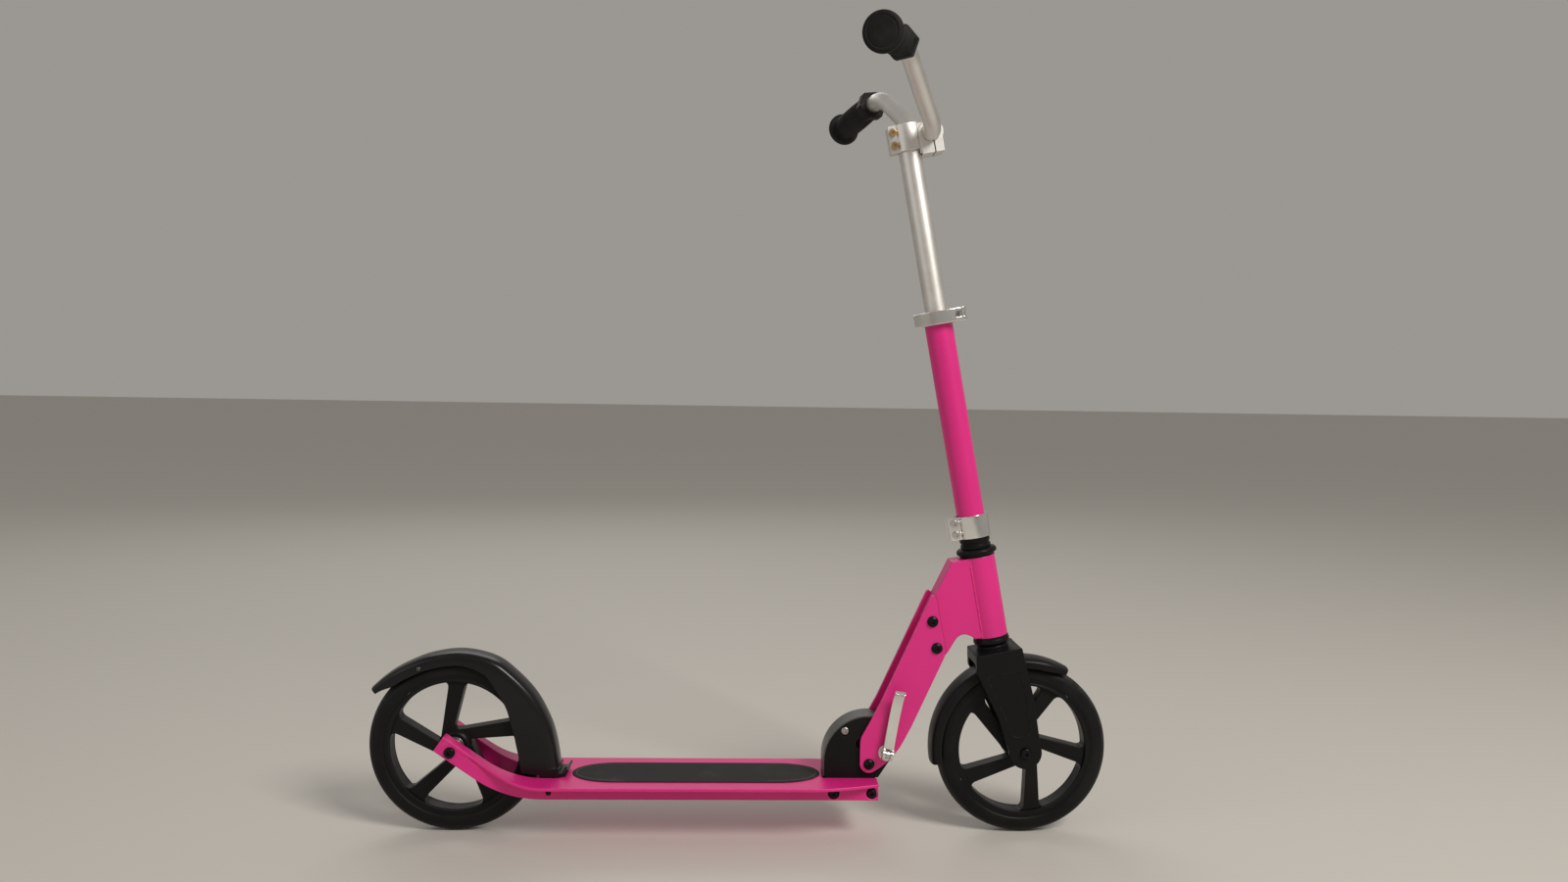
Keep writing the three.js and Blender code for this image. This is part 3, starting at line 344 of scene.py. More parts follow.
def softened(made, width, segments=3, angle=32):
    """Rounds every edge sharper than the angle."""
    bevel = made.modifiers.new("soften", "BEVEL")
    bevel.width = width
    bevel.segments = segments
    bevel.limit_method = "ANGLE"
    bevel.angle_limit = math.radians(angle)
    bevel.use_clamp_overlap = False
    bevel.miter_outer = "MITER_ARC"
    return applied(made)


def lofted(sections):
    """A closed skin through rows of points, with flat ends."""
    count = len(sections[0])
    rows = [p for section in sections for p in section]
    faces = []
    for s in range(len(sections) - 1):
        for i in range(count):
            j = (i + 1) % count
            a, b = s * count, (s + 1) * count
            faces.append([a + i, a + j, b + j, b + i])
    last = (len(sections) - 1) * count
    flat = geometry.tessellate_polygon([[Vector(p) for p in sections[0]]])
    faces += [list(t) for t in flat] + [[last + i for i in t] for t in flat]
    return solid(rows, faces)


def swept(stations, section, side):
    """Carries a (sideways, outwards) section along (point, direction) stations."""
    rows = []
    for point, along in stations:
        out = along.cross(side).normalized()
        rows.append([point + side * u + out * v for u, v in section])
    return lofted(rows)


def rounded_strip(half_width, half_thickness, edge):
    corners = [(-half_width, -half_thickness), (half_width, -half_thickness),
               (half_width, half_thickness), (-half_width, half_thickness)]
    return filleted([(u, v, edge) for u, v in corners], 4)


def piece(node, made, body, slot, place=SCOOTER, sharp=38, name=None, material=None):
    """Names a finished solid, moves it into the row frame and lets it stand for its CAD node."""
    made.name = name or f"{node}_made"
    made.data.name = made.name
    made.data.transform(place)
    split_up(made)
    made.data.shade_smooth()
    made.data.set_sharp_from_angle(angle=math.radians(sharp))
    weigh = made.modifiers.new("even shading", "WEIGHTED_NORMAL")
    weigh.keep_sharp = True
    weigh.weight = 80
    applied(made)
    made.data.materials.clear()
    made.data.materials.append(material or MATERIALS[slot])
    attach(made, body)
    if node:
        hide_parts(node)
    return made


# ---------------------------------------------------------------- materials

class Nodes:
    """A material's node tree, with short calls to add and link nodes."""

    def __init__(self, name):
        self.material = bpy.data.materials.new(name)
        self.material.use_nodes = True
        self.tree = self.material.node_tree
        self.shader = self.tree.nodes["Principled BSDF"]
        self.place = self.add("TexCoord").outputs["Object"]

    def add(self, kind, **settings):
        node = self.tree.nodes.new(f"ShaderNode{kind}")
        for key, value in settings.items():
            setattr(node, key, value)
        return node

    def feed(self, socket, value):
        if isinstance(value, bpy.types.NodeSocket):
            self.tree.links.new(value, socket)
        else:
            socket.default_value = value

    def maths(self, operation, a, b=0.0, c=0.0):
        node = self.add("Math", operation=operation)
        for socket, value in zip(node.inputs, (a, b, c)):
            self.feed(socket, value)
        return node.outputs[0]

    def times(self, a, b):
        return self.maths("MULTIPLY", a, b)

    def stretched(self, scale):
        node = self.add("Mapping")
        self.feed(node.inputs["Vector"], self.place)
        node.inputs["Scale"].default_value = scale
        return node.outputs[0]

    def noise(self, scale, detail=3.0, roughness=0.55, vector=None, distortion=0.0):
        node = self.add("TexNoise")
        self.feed(node.inputs["Vector"], vector or self.place)
        node.inputs["Scale"].default_value = scale
        node.inputs["Detail"].default_value = detail
        node.inputs["Roughness"].default_value = roughness
        node.inputs["Distortion"].default_value = distortion
        return node.outputs["Fac"]

    def cells(self, scale):
        node = self.add("TexVoronoi", feature="F1")
        self.feed(node.inputs["Vector"], self.place)
        node.inputs["Scale"].default_value = scale
        return node.outputs["Distance"]

    def ranged(self, value, low, high, to_low=0.0, to_high=1.0):
        node = self.add("MapRange", clamp=True)
        for socket, item in zip(node.inputs, (value, low, high, to_low, to_high)):
            self.feed(socket, item)
        return node.outputs[0]

    def mixed(self, share, a, b):
        node = self.add("Mix", data_type="RGBA")
        for socket, value in zip((node.inputs[0], node.inputs[6], node.inputs[7]), (share, a, b)):
            self.feed(socket, value)
        return node.outputs[2]

    def tinted(self, base, share, strength, colour):
        """The base with a colour laid over it, as strong as share times strength."""
        return self.mixed(self.times(share, strength), base, (*colour, 1))

    def edges(self, reach=0.0011):
        """Near 1 within reach of an edge or corner, 0 elsewhere."""
        rounded = self.add("Bevel", samples=4)
        rounded.inputs["Radius"].default_value = reach
        along = self.add("VectorMath", operation="DOT_PRODUCT")
        self.feed(along.inputs[0], rounded.outputs["Normal"])
        self.feed(along.inputs[1], self.add("NewGeometry").outputs["Normal"])
        return self.ranged(along.outputs["Value"], 0.985, 0.9)

    def facing_up(self):
        """Near 1 on faces that look up."""
        parts = self.add("SeparateXYZ")
        self.feed(parts.inputs[0], self.add("NewGeometry").outputs["Normal"])
        return self.ranged(parts.outputs["Z"], 0.35, 0.95)

    def bump(self, height, distance, strength=1.0):
        node = self.add("Bump")
        self.feed(node.inputs["Height"], height)
        node.inputs["Distance"].default_value = distance
        node.inputs["Strength"].default_value = strength
        return node.outputs["Normal"]

    def done(self, colour, roughness, normal, metallic=0.0, **sockets):
        self.feed(self.shader.inputs["Base Color"], colour)
        self.feed(self.shader.inputs["Roughness"], roughness)
        self.feed(self.shader.inputs["Normal"], normal)
        self.feed(self.shader.inputs["Metallic"], metallic)
        for name, value in sockets.items():
            self.shader.inputs[name.replace("_", " ")].default_value = value
        return self.material


def shade(colour, factor):
    return (*[min(1.0, channel * factor) for channel in colour], 1.0)


def paint(name, colour, worn, rough, specular=0.4, coat=0.2):
    """Powder coat: slight orange peel, faint patches, fine scuffs, edges a little lighter in patches: painted
    edge highlight, partly worn paint.
    """
    n = Nodes(name)
    patches = n.noise(9, 4)
    colour_here = n.mixed(n.ranged(patches, 0.3, 0.7), shade(colour, 0.95), shade(colour, 1.04))
    scuffs = n.ranged(n.noise(300, 5, 0.7, n.stretched((1, 0.4, 0.15)), 0.4), 0.7, 0.76)
    colour_here = n.tinted(colour_here, scuffs, 0.06, worn)
    # painted highlight, partly wear: edges tinted in patches towards the worn colour, a little lighter
    edge = n.times(n.edges(), n.ranged(n.noise(140, 3), 0.42, 0.62))
    colour_here = n.tinted(colour_here, edge, 0.35, worn)
    peel = n.noise(900, 2, 0.4)
    roughness = n.ranged(n.noise(30, 4), 0.3, 0.7, rough - 0.05, rough + 0.07)
    roughness = n.maths("MULTIPLY_ADD", scuffs, 0.12, roughness)
    return n.done(
        colour_here, roughness, n.bump(peel, 0.00004, 0.5), Coat_Weight=coat, Coat_Roughness=0.18,
        Specular_IOR_Level=specular,
    )


def moulded(name, colour, rough, grain, dust=0.25, gloss=0.0):
    """Moulded plastic: spark-eroded grain, dull and polished patches, light dust, every edge painted pale as
    a highlight.
    """
    n = Nodes(name)
    patches = n.ranged(n.noise(14, 4), 0.3, 0.7)
    colour_here = n.mixed(patches, shade(colour, 0.75), shade(colour, 1.3))
    settled = n.times(n.facing_up(), n.ranged(n.noise(45, 6, 0.65), 0.45, 0.75))
    colour_here = n.tinted(colour_here, settled, dust, (0.16, 0.15, 0.135))
    scratches = n.ranged(n.noise(320, 4, 0.7, n.stretched((0.25, 1, 1)), 0.6), 0.68, 0.75)
    colour_here = n.tinted(colour_here, scratches, 0.18, (0.12, 0.12, 0.12))
    # painted highlight: every edge and corner tinted paler
    colour_here = n.tinted(colour_here, n.edges(), 0.35, (0.05, 0.05, 0.052))
    texture = n.maths("ADD", n.noise(grain, 2, 0.5), n.times(scratches, 0.5))
    roughness = n.ranged(n.noise(22, 3), 0.3, 0.7, rough - 0.06, rough + 0.1)
    return n.done(
        colour_here, roughness, n.bump(texture, 0.00006, 0.7), Coat_Weight=gloss, Coat_Roughness=0.2,
        Specular_IOR_Level=0.14,
    )


def tyre_material(name, axle_x):
    """Cast polyurethane: satin sides, a dusty scuffed band where it meets the ground."""
    n = Nodes(name)
    parts = n.add("SeparateXYZ")
    n.feed(parts.inputs[0], n.place)
    along = n.maths("SUBTRACT", parts.outputs["X"], axle_x)
    up = n.maths("SUBTRACT", parts.outputs["Z"], WHEEL_RADIUS / 1000)
    squares = n.maths("ADD", n.times(along, along), n.times(up, up))
    tread = n.ranged(n.maths("SQRT", squares), 0.0945, 0.0995)
    dirt = n.ranged(n.noise(70, 6, 0.7), 0.35, 0.7)
    colour = n.mixed(n.ranged(n.noise(20, 3), 0.3, 0.7), (0.005, 0.005, 0.0055, 1), (0.011, 0.011, 0.0115, 1))
    colour = n.tinted(colour, n.times(tread, dirt), 0.5, (0.13, 0.12, 0.105))
    specks = n.ranged(n.cells(420), 0.1, 0.03)
    colour = n.tinted(colour, specks, 0.16, (0.12, 0.115, 0.1))
    roughness = n.maths("MULTIPLY_ADD", tread, 0.3, n.ranged(n.noise(40, 3), 0.3, 0.7, 0.36, 0.48))
    grit = n.times(n.noise(700, 3, 0.6), n.maths("MULTIPLY_ADD", tread, 0.8, 0.2))
    return n.done(colour, roughness, n.bump(grit, 0.00012, 0.8), Specular_IOR_Level=0.14)


def rubber():
    """Soft grip rubber: fine matte grain, palms' polish in patches, paler along every edge and groove:
    painted highlight on the edges, a trace of dust in the grooves.
    """
    n = Nodes("grip rubber")
    patches = n.ranged(n.noise(60, 5, 0.7), 0.35, 0.7)
    colour = n.mixed(patches, (0.006, 0.006, 0.006, 1), (0.016, 0.0155, 0.015, 1))
    # painted highlight on the edges, dust in the grooves: paler within reach of every edge
    colour = n.tinted(colour, n.edges(0.0016), 0.3, (0.06, 0.057, 0.053))
    roughness = n.ranged(n.noise(35, 4), 0.3, 0.7, 0.52, 0.78)
    return n.done(colour, roughness, n.bump(n.noise(1100, 3, 0.6), 0.00008, 0.8), Specular_IOR_Level=0.18)


def tape():
    """Grip tape: packed grains of abrasive, some painted pale as glints and made glossier, worn paler where
    feet stand.
    """
    n = Nodes("grip tape")
    grains = n.cells(1400)
    tips = n.ranged(grains, 0.5, 0.1)
    colour = n.mixed(tips, (0.006, 0.006, 0.006, 1), (0.05, 0.049, 0.047, 1))
    painted_glints_and_gloss = n.ranged(n.cells(900), 0.07, 0.03)
    # painted glints: small grains tinted pale, as if catching the light
    colour = n.tinted(colour, painted_glints_and_gloss, 0.6, (0.3, 0.3, 0.3))
    trodden = n.ranged(n.noise(11, 5, 0.6), 0.5, 0.72)
    colour = n.tinted(colour, trodden, 0.22, (0.13, 0.125, 0.115))
    roughness = n.ranged(painted_glints_and_gloss, 0, 1, 0.85, 0.35)
    return n.done(colour, roughness, n.bump(tips, 0.0004, 0.9))


def metal(name, colour, rough, grain, stretch, relief=0.00001, smudge=0.06):
    """Metal with a drawn grain along one direction, fine scratches and duller handled patches."""
    n = Nodes(name)
    lines = n.noise(grain, 4, 0.6, n.stretched(stretch))
    patches = n.ranged(n.noise(24, 4), 0.35, 0.7)
    colour_here = n.mixed(patches, shade(colour, 0.93), shade(colour, 1.04))
    colour_here = n.mixed(n.ranged(lines, 0.3, 0.7, 0.0, 0.12), colour_here, shade(colour, 0.7))
    scratches = n.ranged(n.noise(grain * 0.6, 6, 0.75, n.stretched((1, 0.2, 0.6)), 1.2), 0.7, 0.76)
    roughness = n.ranged(lines, 0.3, 0.7, rough - 0.04, rough + 0.05)
    roughness = n.maths("MULTIPLY_ADD", patches, smudge, roughness)
    roughness = n.maths("MULTIPLY_ADD", scratches, 0.15, roughness)
    height = n.maths("ADD", lines, n.times(scratches, -0.6))
    return n.done(colour_here, roughness, n.bump(height, relief, 0.6), 1.0)


MATERIALS = {
    "pink_paint": paint("pink powder coat", (0.72, 0.018, 0.225), (0.85, 0.42, 0.50), 0.38),
    "black_paint": paint("black powder coat", (0.006, 0.006, 0.0065), (0.09, 0.09, 0.09), 0.42, 0.12, 0.05),
    "black_plastic": moulded("black moulded plastic", (0.007, 0.007, 0.0075), 0.36, 1300, 0.12),
    "grip_rubber": rubber(),
    "grip_tape": tape(),
    "aluminium": metal("satin aluminium", (0.80, 0.78, 0.75), 0.40, 600, (1, 1, 1)),
    "steel": metal("bright steel", (0.62, 0.61, 0.59), 0.24, 380, (1, 0.15, 1)),
    "black_steel": metal("blackened steel", (0.022, 0.022, 0.024), 0.34, 420, (1, 0.3, 1)),
}
GLOSSY_PLASTIC = moulded("glossy black plastic", (0.006, 0.006, 0.0065), 0.28, 900, 0.08, 0.3)
POLISHED = metal("polished aluminium", (0.86, 0.85, 0.83), 0.14, 420, (1, 0.1, 1), 0.000004, 0.05)
GREY_STEEL = metal("rolled steel strap", (0.15, 0.148, 0.142), 0.34, 420, (1, 0.12, 1), 0.000006, 0.08)
WORN_ALUMINIUM = metal("worn aluminium", (0.42, 0.41, 0.39), 0.3, 420, (1, 1, 1))
DARK_STEEL = metal("darkened steel", (0.14, 0.135, 0.13), 0.3, 420, (1, 1, 1))
YELLOW_ZINC = metal("yellow zinc plating", (0.62, 0.44, 0.24), 0.28, 420, (1, 1, 1))
# painted shade: dark pink for the strip along the neck plates' edges
SEAM_SHADE_PINK = paint("painted shade pink in a seam", (0.22, 0.006, 0.07), (0.4, 0.1, 0.2), 0.6)
TAPE_LINE = moulded("printed border", (0.09, 0.087, 0.08), 0.7, 1400)
TYRES = {
    "rear": tyre_material("rear tyre urethane", -WHEELBASE / 2000),
    "front": tyre_material("front tyre urethane", WHEELBASE / 2000),
}


# ---------------------------------------------------------------- wheels

RIM_INNER = 74.5
RIM_OUTER = 80
SPOKES = 5
SPOKE_ASIDE = 12
SPOKE_HALF_AT_HUB = 6.6
SPOKE_HALF_AT_RIM = 9.4
AXLE_HOLE = 4.3


def from_axle(angle, along, aside):
    turn = math.radians(angle)
    return Vector((
        along * math.cos(turn) - aside * math.sin(turn), along * math.sin(turn) + aside * math.cos(turn),
    ))


def crossing(first, second):
    (a, b), (c, d) = first, second
    u, v = b - a, d - c
    return a + u * ((c - a).cross(v) / u.cross(v))


def window_edges(angle):
    """The straight edges of the spokes on either side of a window, each from hub to rim."""
    def edge(turn, side):
        return (from_axle(turn, 20, SPOKE_ASIDE + side * SPOKE_HALF_AT_HUB),
                from_axle(turn, RIM_INNER - 4, SPOKE_ASIDE + side * SPOKE_HALF_AT_RIM))
    return edge(angle, 1), edge(angle + 360 / SPOKES, -1)


def window_rim(angle):
    """The angles where a window's rim starts and ends."""
    lag, lead = [math.degrees(math.asin((SPOKE_ASIDE + side * SPOKE_HALF_AT_RIM) / RIM_INNER))
                 for side in (1, -1)]
    return angle + lag, angle + 360 / SPOKES + lead


def spoke_window(angle):
    """The window between two spokes; the spokes run past the axle and widen towards the rim."""
    first, second = window_edges(angle)
    hub_corner = crossing(first, second)
    start, end = window_rim(angle)
    corners = [from_axle(turn, RIM_INNER, 0) for turn in (start, end)]
    toward = [(c - e[0]).normalized() for c, e in zip(corners, (first, second))]
    points = [hub_corner + toward[0] * 4, corners[0] - toward[0] * 8]
    points += [Vector(p) for p in bezier([points[-1], corners[0], from_axle(start + 5.7, RIM_INNER, 0)], 6)]
    points += [from_axle(start + 5.7 + (end - start - 11.4) * i / 14, RIM_INNER, 0) for i in range(1, 15)]
    points += [Vector(p) for p in bezier([points[-1], corners[1], corners[1] - toward[1] * 8], 6)]
    points.append(hub_corner + toward[1] * 4)
    points += [Vector(p) for p in bezier([points[-1], hub_corner, points[0]], 5)][:-1]
    return [tuple(p) for p in points]


def grown(outline, distance):
    """An anticlockwise outline with every point moved straight outwards."""
    made = []
    for i, point in enumerate(outline):
        along = (Vector(outline[(i + 1) % len(outline)]) - Vector(outline[i - 1])).normalized()
        made.append((point[0] + along.y * distance, point[1] - along.x * distance))
    return made


def spoke_web(angle):
    """The disc of the five spokes: a flat ring with five windows, their edges rounded."""
    half, edge = 9, 1.1
    turns = [math.pi / 2 * i / 4 for i in range(5)]
    near = [(edge * (1 - math.sin(t)), half - edge * (1 - math.cos(t))) for t in turns]
    stations = near + [(grow, -y) for grow, y in reversed(near)]
    outer = arc(0, 0, RIM_INNER + 2.2, 0, 360, 120)[:-1]
    inner = arc(0, 0, 15, 0, 360, 60)[:-1]
    outlines = [(outer, 0), (inner, 0)]
    outlines += [(spoke_window(angle + 360 / SPOKES * i), 1) for i in range(SPOKES)]
    rows, faces, front, back = [], [], [], []
    for outline, share in outlines:
        count = len(outline)
        start = len(rows)
        for grow, y in stations:
            rows += [(x, y, z) for x, z in grown(outline, grow * share)]
        for s in range(len(stations) - 1):
            for i in range(count):
                a, b = start + s * count + i, start + s * count + (i + 1) % count
                faces.append([a, b, b + count, a + count])
        front.append(list(range(start, start + count)))
        back.append(list(range(len(rows) - count, len(rows))))
    for loops in (front, back):
        numbers = [n for loop in loops for n in loop]
        flat = geometry.tessellate_polygon([
            [Vector((rows[n][0], rows[n][2], 0)) for n in loop] for loop in loops
        ])
        faces += [[numbers[i] for i in t] for t in flat]
    return solid(rows, faces)


def wheel_core(angle):
    """Rim, five spokes and hub in one moulding, with the bearing seats in the hub."""
    hub = turned(filleted(both_sides([
        (19.5, 7, 1), (17, 11, 1.2), (14.5, 12.8, 0.8), (11.2, 12.8), (11.2, 5.7), (7, 5.7),
    ]), 4), 96, closed=True)
    rim = turned(filleted(both_sides([
        (RIM_OUTER, 12), (RIM_INNER + 3, 12, 0.2), (RIM_INNER + 2.6, 12.5, 0.3), (RIM_INNER, 12.5, 0.8),
        (RIM_INNER + 1.4, 8),
    ]), 4), 120, closed=True)
    return join(rim, hub, spoke_web(angle))


def bearing():
    """Outer race, sunk shield and inner race, on the left side."""
    return turned(filleted([
        (AXLE_HOLE, 6), (11, 6), (11, 13, 0.4), (9.4, 13, 0.2), (9.2, 12.5), (6.6, 12.5), (6.4, 13, 0.2),
        (AXLE_HOLE, 13, 0.3),
    ], 3), 64, closed=True)


def axle(face):
    """A bolt along Y, its domed head on the right with a hexagon socket."""
    head = -face - 0.3
    bolt = turned(filleted([
        (0, head - 3.8), (5, head - 3.8, 0.8), (6.3, head - 2.4, 0.8), (6.3, head, 0.3), (4, head),
        (4, face + 4.3, 0.5), (0, face + 4.3),
    ], 4, closed=False), 64)
    return cut(bolt, turned(rod(2.6, head - 5, head - 1.6), 6))


def axle_nut(face):
    return turned(filleted([
        (AXLE_HOLE, face + 0.3), (6.3, face + 0.3, 0.2), (6.3, face + 3.1, 0.6), (5, face + 4.9, 0.6),
        (AXLE_HOLE, face + 4.9),
    ], 4), 64, closed=True)


def wheel_at(end, centre, body, angle, face, inner_face, holder):
    place = SCOOTER @ Matrix.Translation(centre)
    tyre = turned(filleted(both_sides([
        (WHEEL_RADIUS, 1.6, 1.5), (97.7, 8.8, 2.6), (93.6, 12.6, 2.8), (87, 14, 2), (83, 13.7, 0.6),
        (82, 12.9, 0.5), (RIM_OUTER + 0.3, 12.6),
    ]), 5), 160, closed=True)
    piece(f"{end}_tyre", tyre, body, "black_tyre", place, material=TYRES[end])
    piece(f"{end}_core", wheel_core(angle), body, "black_plastic", place)
    piece(f"{end}_bearing_left", bearing(), body, "steel", place)
    piece(f"{end}_bearing_right", mirrored_away(bearing()), body, "steel", place)
    piece(f"{end}_axle", axle(face), holder, "black_steel", place)
    piece(f"{end}_axle_nut", axle_nut(face), holder, "black_steel", place)
    spacer = turned(ring(AXLE_HOLE, 6.8, 13.3, inner_face - 0.3), 48, closed=True)
    piece(f"{end}_spacer_right", mirrored(spacer), holder, "aluminium", place)
    piece(f"{end}_spacer_left", spacer, holder, "aluminium", place)


def mirrored_away(made):
    """The solid itself, moved to the other side of the middle plane."""
    return moved(made, Matrix.Scale(-1, 4, (0, 1, 0)))


wheel_at("rear", (0, 0, WHEEL_RADIUS), "rear_wheel", 7, 36, 20, "deck")
wheel_at("front", (WHEELBASE, 0, WHEEL_RADIUS), "front_wheel", -17, 30, 21.5, "steering")


# ---------------------------------------------------------------- deck

STAY_ANGLE = math.radians(34.5)
BEND = (104.6, DECK_TOP + 117.6)


def deck_line(drop, overrun=0.0):
    """The deck's side line, drop below its top: down the stay, round the bend, to the front."""
    radius = 117.6 + drop
    length = 55 + overrun
    top = (BEND[0] - radius * math.sin(STAY_ANGLE), BEND[1] - radius * math.cos(STAY_ANGLE))
    points = [(top[0] - length * math.cos(STAY_ANGLE), top[1] + length * math.sin(STAY_ANGLE))]
    for i in range(20, -1, -1):
        turn = STAY_ANGLE * i / 20
        points.append((BEND[0] - radius * math.sin(turn), BEND[1] - radius * math.cos(turn)))
    return points + [(DECK_FRONT + overrun, DECK_TOP - drop)]


def deck_strip(upper, lower, overrun=0.0):
    return deck_line(upper, overrun) + deck_line(lower, overrun)[::-1]


def plate_plan():
    wide, narrow = -DECK_HALF_WIDTH, -BOX_HALF_WIDTH
    right = [(-40, narrow), (14, narrow)]
    right += bezier([(14, narrow), (60, narrow), (70, wide), (112, wide)], 20)
    right.append((414, wide))
    right += bezier([(414, wide), (444, wide + 1), (DECK_FRONT + 1, narrow - 3)], 14)
    return right + [(x, -y) for x, y in right[::-1]]


def deck_frame():
    plate = prism(deck_strip(0, 3.5), -DECK_HALF_WIDTH, DECK_HALF_WIDTH)
    plate = meet(plate, slab(plate_plan(), 20, 140))
    walls = prism(deck_strip(0, DECK_DEPTH), -BOX_HALF_WIDTH, BOX_HALF_WIDTH)
    slot = filleted([(-60, -20), (126, -20, 11), (126, 20, 11), (-60, 20)], 7)
    frame_body = cut(join(plate, walls), slab(slot, 20, 140))
    frame_body = softened(frame_body, 0.9, 3, 40)
    chamber = prism(deck_strip(3, 17, 10), 23, 33)
    middle = box(106, 493, -20, 20, 49, 62.5)
    seat = box(424.5, 493, -16.6, 16.6, 60, 70)
    groove = prism(deck_strip(4.1, 4.9, 10), 35.5, 40)
    holes = [side_hole((0, WHEEL_RADIUS), AXLE_HOLE, 45), side_hole(BRAKE_PIN, PIN_HOLE, 45)]
    sunk = [(0, 28), (6.6, 28), (6.6, 35.4), (7.8, 36.6), (0, 36.6)]
    for bolt in BLOCK_BOLTS.values():
        holes.append(side_hole(bolt, BOLT_HOLE))
        holes.append(across(*bolt, sunk))
        holes.append(across(*bolt, [(r, -h) for r, h in sunk[::-1]]))
    other_chamber, other_groove = mirrored(chamber), mirrored(groove)
    return cut(frame_body, chamber, other_chamber, middle, seat, groove, other_groove, *holes)


def oval(half_width, reach):
    """The tape's oval: straight sides between two half ellipses."""
    points = []
    for middle, start in ((TAPE_FRONT, -90), (TAPE_REAR, 90)):
        points += [(middle + reach * u, half_width * v) for u, v in arc(0, 0, 1, start, start + 180, 28)]
    return points


piece("deck_frame", deck_frame(), "deck", "pink_paint")
sheet = softened(slab(oval(35, 50), DECK_TOP + 0.2, DECK_TOP + 1.2), 0.3, 2)
piece("grip_tape", sheet, "deck", "grip_tape")
border = slab(oval(31, 46), DECK_TOP + 1.1, DECK_TOP + 1.35)
border = cut(border, slab(oval(30.1, 45.1), 0, 140), box(TAPE_REAR + 12, TAPE_FRONT - 12, -60, 60, 0, 140))
piece(None, border, "deck", "grip_tape", name="tape_border", material=TAPE_LINE)
piece("brake_pin", across(*BRAKE_PIN, rod(3, -36.6, 36.6, 0.5)), "deck", "black_steel")


# ---------------------------------------------------------------- folding block

BLOCK_SCREW = (450.2, 120.6)


def fold_slot():
    """The curved slot of the skewer, with a wider seat at each end."""
    reach = math.hypot(SKEWER[0] - PIVOT[0], SKEWER[1] - PIVOT[1])
    start = math.degrees(math.atan2(SKEWER[1] - PIVOT[1], SKEWER[0] - PIVOT[0]))
    end = start + FOLD_RANGE
    ends = [(PIVOT[0] + reach * math.cos(math.radians(a)), PIVOT[1] + reach * math.sin(math.radians(a)))
            for a in (start, end)]
    line = arc(*PIVOT, reach + 4.7, start, end, 20) + arc(*PIVOT, reach - 4.7, end, start, 20)
    return join(prism(line, -30, 30), *[side_hole((x, z), 6.1) for x, z in ends])


def fold_block():
    x, z = BLOCK_CENTRE
    top = math.degrees(0.78)
    under = DECK_TOP + 0.3
    side = filleted([(x - BLOCK_RADIUS, under), (489.5, under), (503, 87, 2), (511, 106, 2)])
    side += arc(x, z, BLOCK_RADIUS, top, 180, 48)
    body = prism(side, -BLOCK_HALF_WIDTH, BLOCK_HALF_WIDTH)
    foot = box(428, 486, -19.6, 19.6, 49.4, 62.1)
    neck = box(428, 486, -BLOCK_HALF_WIDTH, BLOCK_HALF_WIDTH, 58, 70)
    whole = softened(join(body, neck, foot), 0.8, 3)
    holes = [side_hole(PIVOT, BOLT_HOLE), side_hole(BLOCK_SCREW, PIN_HOLE)]
    holes += [across(*BLOCK_SCREW, rod(5.8, *span)) for span in ((12.8, 30), (-30, -12.8))]
    holes += [side_hole(bolt, BOLT_HOLE) for bolt in BLOCK_BOLTS.values()]
    return cut(whole, fold_slot(), *holes)


def block_strap():
    x, z = BLOCK_CENTRE
    inner, outer = BLOCK_RADIUS + 0.3, BLOCK_RADIUS + 2.3
    top = math.degrees(0.8)
    side = [(x - outer, DECK_TOP + 2), (x - inner, DECK_TOP + 2)]
    side += arc(x, z, inner, 180, top, 48) + arc(x, z, outer, top, 180, 48)
    return softened(prism(side, -BLOCK_HALF_WIDTH, BLOCK_HALF_WIDTH), 0.5, 3)


def through_bolt(x, z, shaft, head, face, height):
    """A screw from side to side whose two domed heads have a hexagon socket."""
    end = face + height
    half = [(shaft, face), (head, face, 0.3), (head, end - height * 0.5, height * 0.3),
            (head * 0.62, end, height * 0.3), (0, end)]
    bolt = turned(filleted(both_sides(half), 4, closed=False), 56)
    socket = turned(rod(head * 0.42, end - height * 0.6, end + 2), 6)
    other = mirrored(socket)
    return shifted(cut(bolt, socket, other), x, 0, z)


piece("fold_block", fold_block(), "deck", "black_plastic")
piece("block_strap", block_strap(), "deck", "steel", material=GREY_STEEL)
screw = through_bolt(*BLOCK_SCREW, 3, 5.3, 13.1, 2.6)
piece("block_screw", screw, "deck", "aluminium", material=WORN_ALUMINIUM)
for end, bolt in BLOCK_BOLTS.items():
    piece(f"block_bolt_{end}", through_bolt(*bolt, 4, 5.8, 33.4, 3.6), "deck", "black_steel")


# ---------------------------------------------------------------- fenders and brake

def channel(half_width, depth, wall):
    """A fender's section as (sideways, inwards) points: rounded shoulders and skirts with a soft lip."""
    inner = half_width - wall
    half = bezier([
        (0, 0), (half_width * 0.55, 0.25), (half_width * 0.96, 1.2), (half_width, 3), (half_width, depth - 1),
    ], 16)
    lip = 0.1 * wall
    half += bezier([half[-1], (half_width - lip, depth), (inner + lip, depth), (inner, depth - 1)], 4)
    half += bezier([
        half[-1], (inner, wall + 3.2), (inner * 0.97, wall + 1.2), (inner * 0.6, wall + 0.2), (0, wall),
    ], 14)
    return [(0, 0)] + half + [(-u, v) for u, v in half[-2::-1]]


def fender(stations, wall):
    """Carries the channel along stations of (x, z, inward x, inward z, half width, depth)."""
    rows = []
    for x, z, nx, nz, half_width, depth in stations:
        rows.append([(x + nx * v, u, z + nz * v) for u, v in channel(half_width, depth, wall)])
    return lofted(rows)


CREST_LINE = [
    (122.2, 67), (120, 81), (115.6, 105.8), (108.5, 129), (91.6, 159.8), (67.2, 185.7), (42.9, 202.4),
    (6.7, 210.4), (-29.5, 205.9), (-59.8, 193.8), (-79.4, 181.4), (-96, 166.8),
]


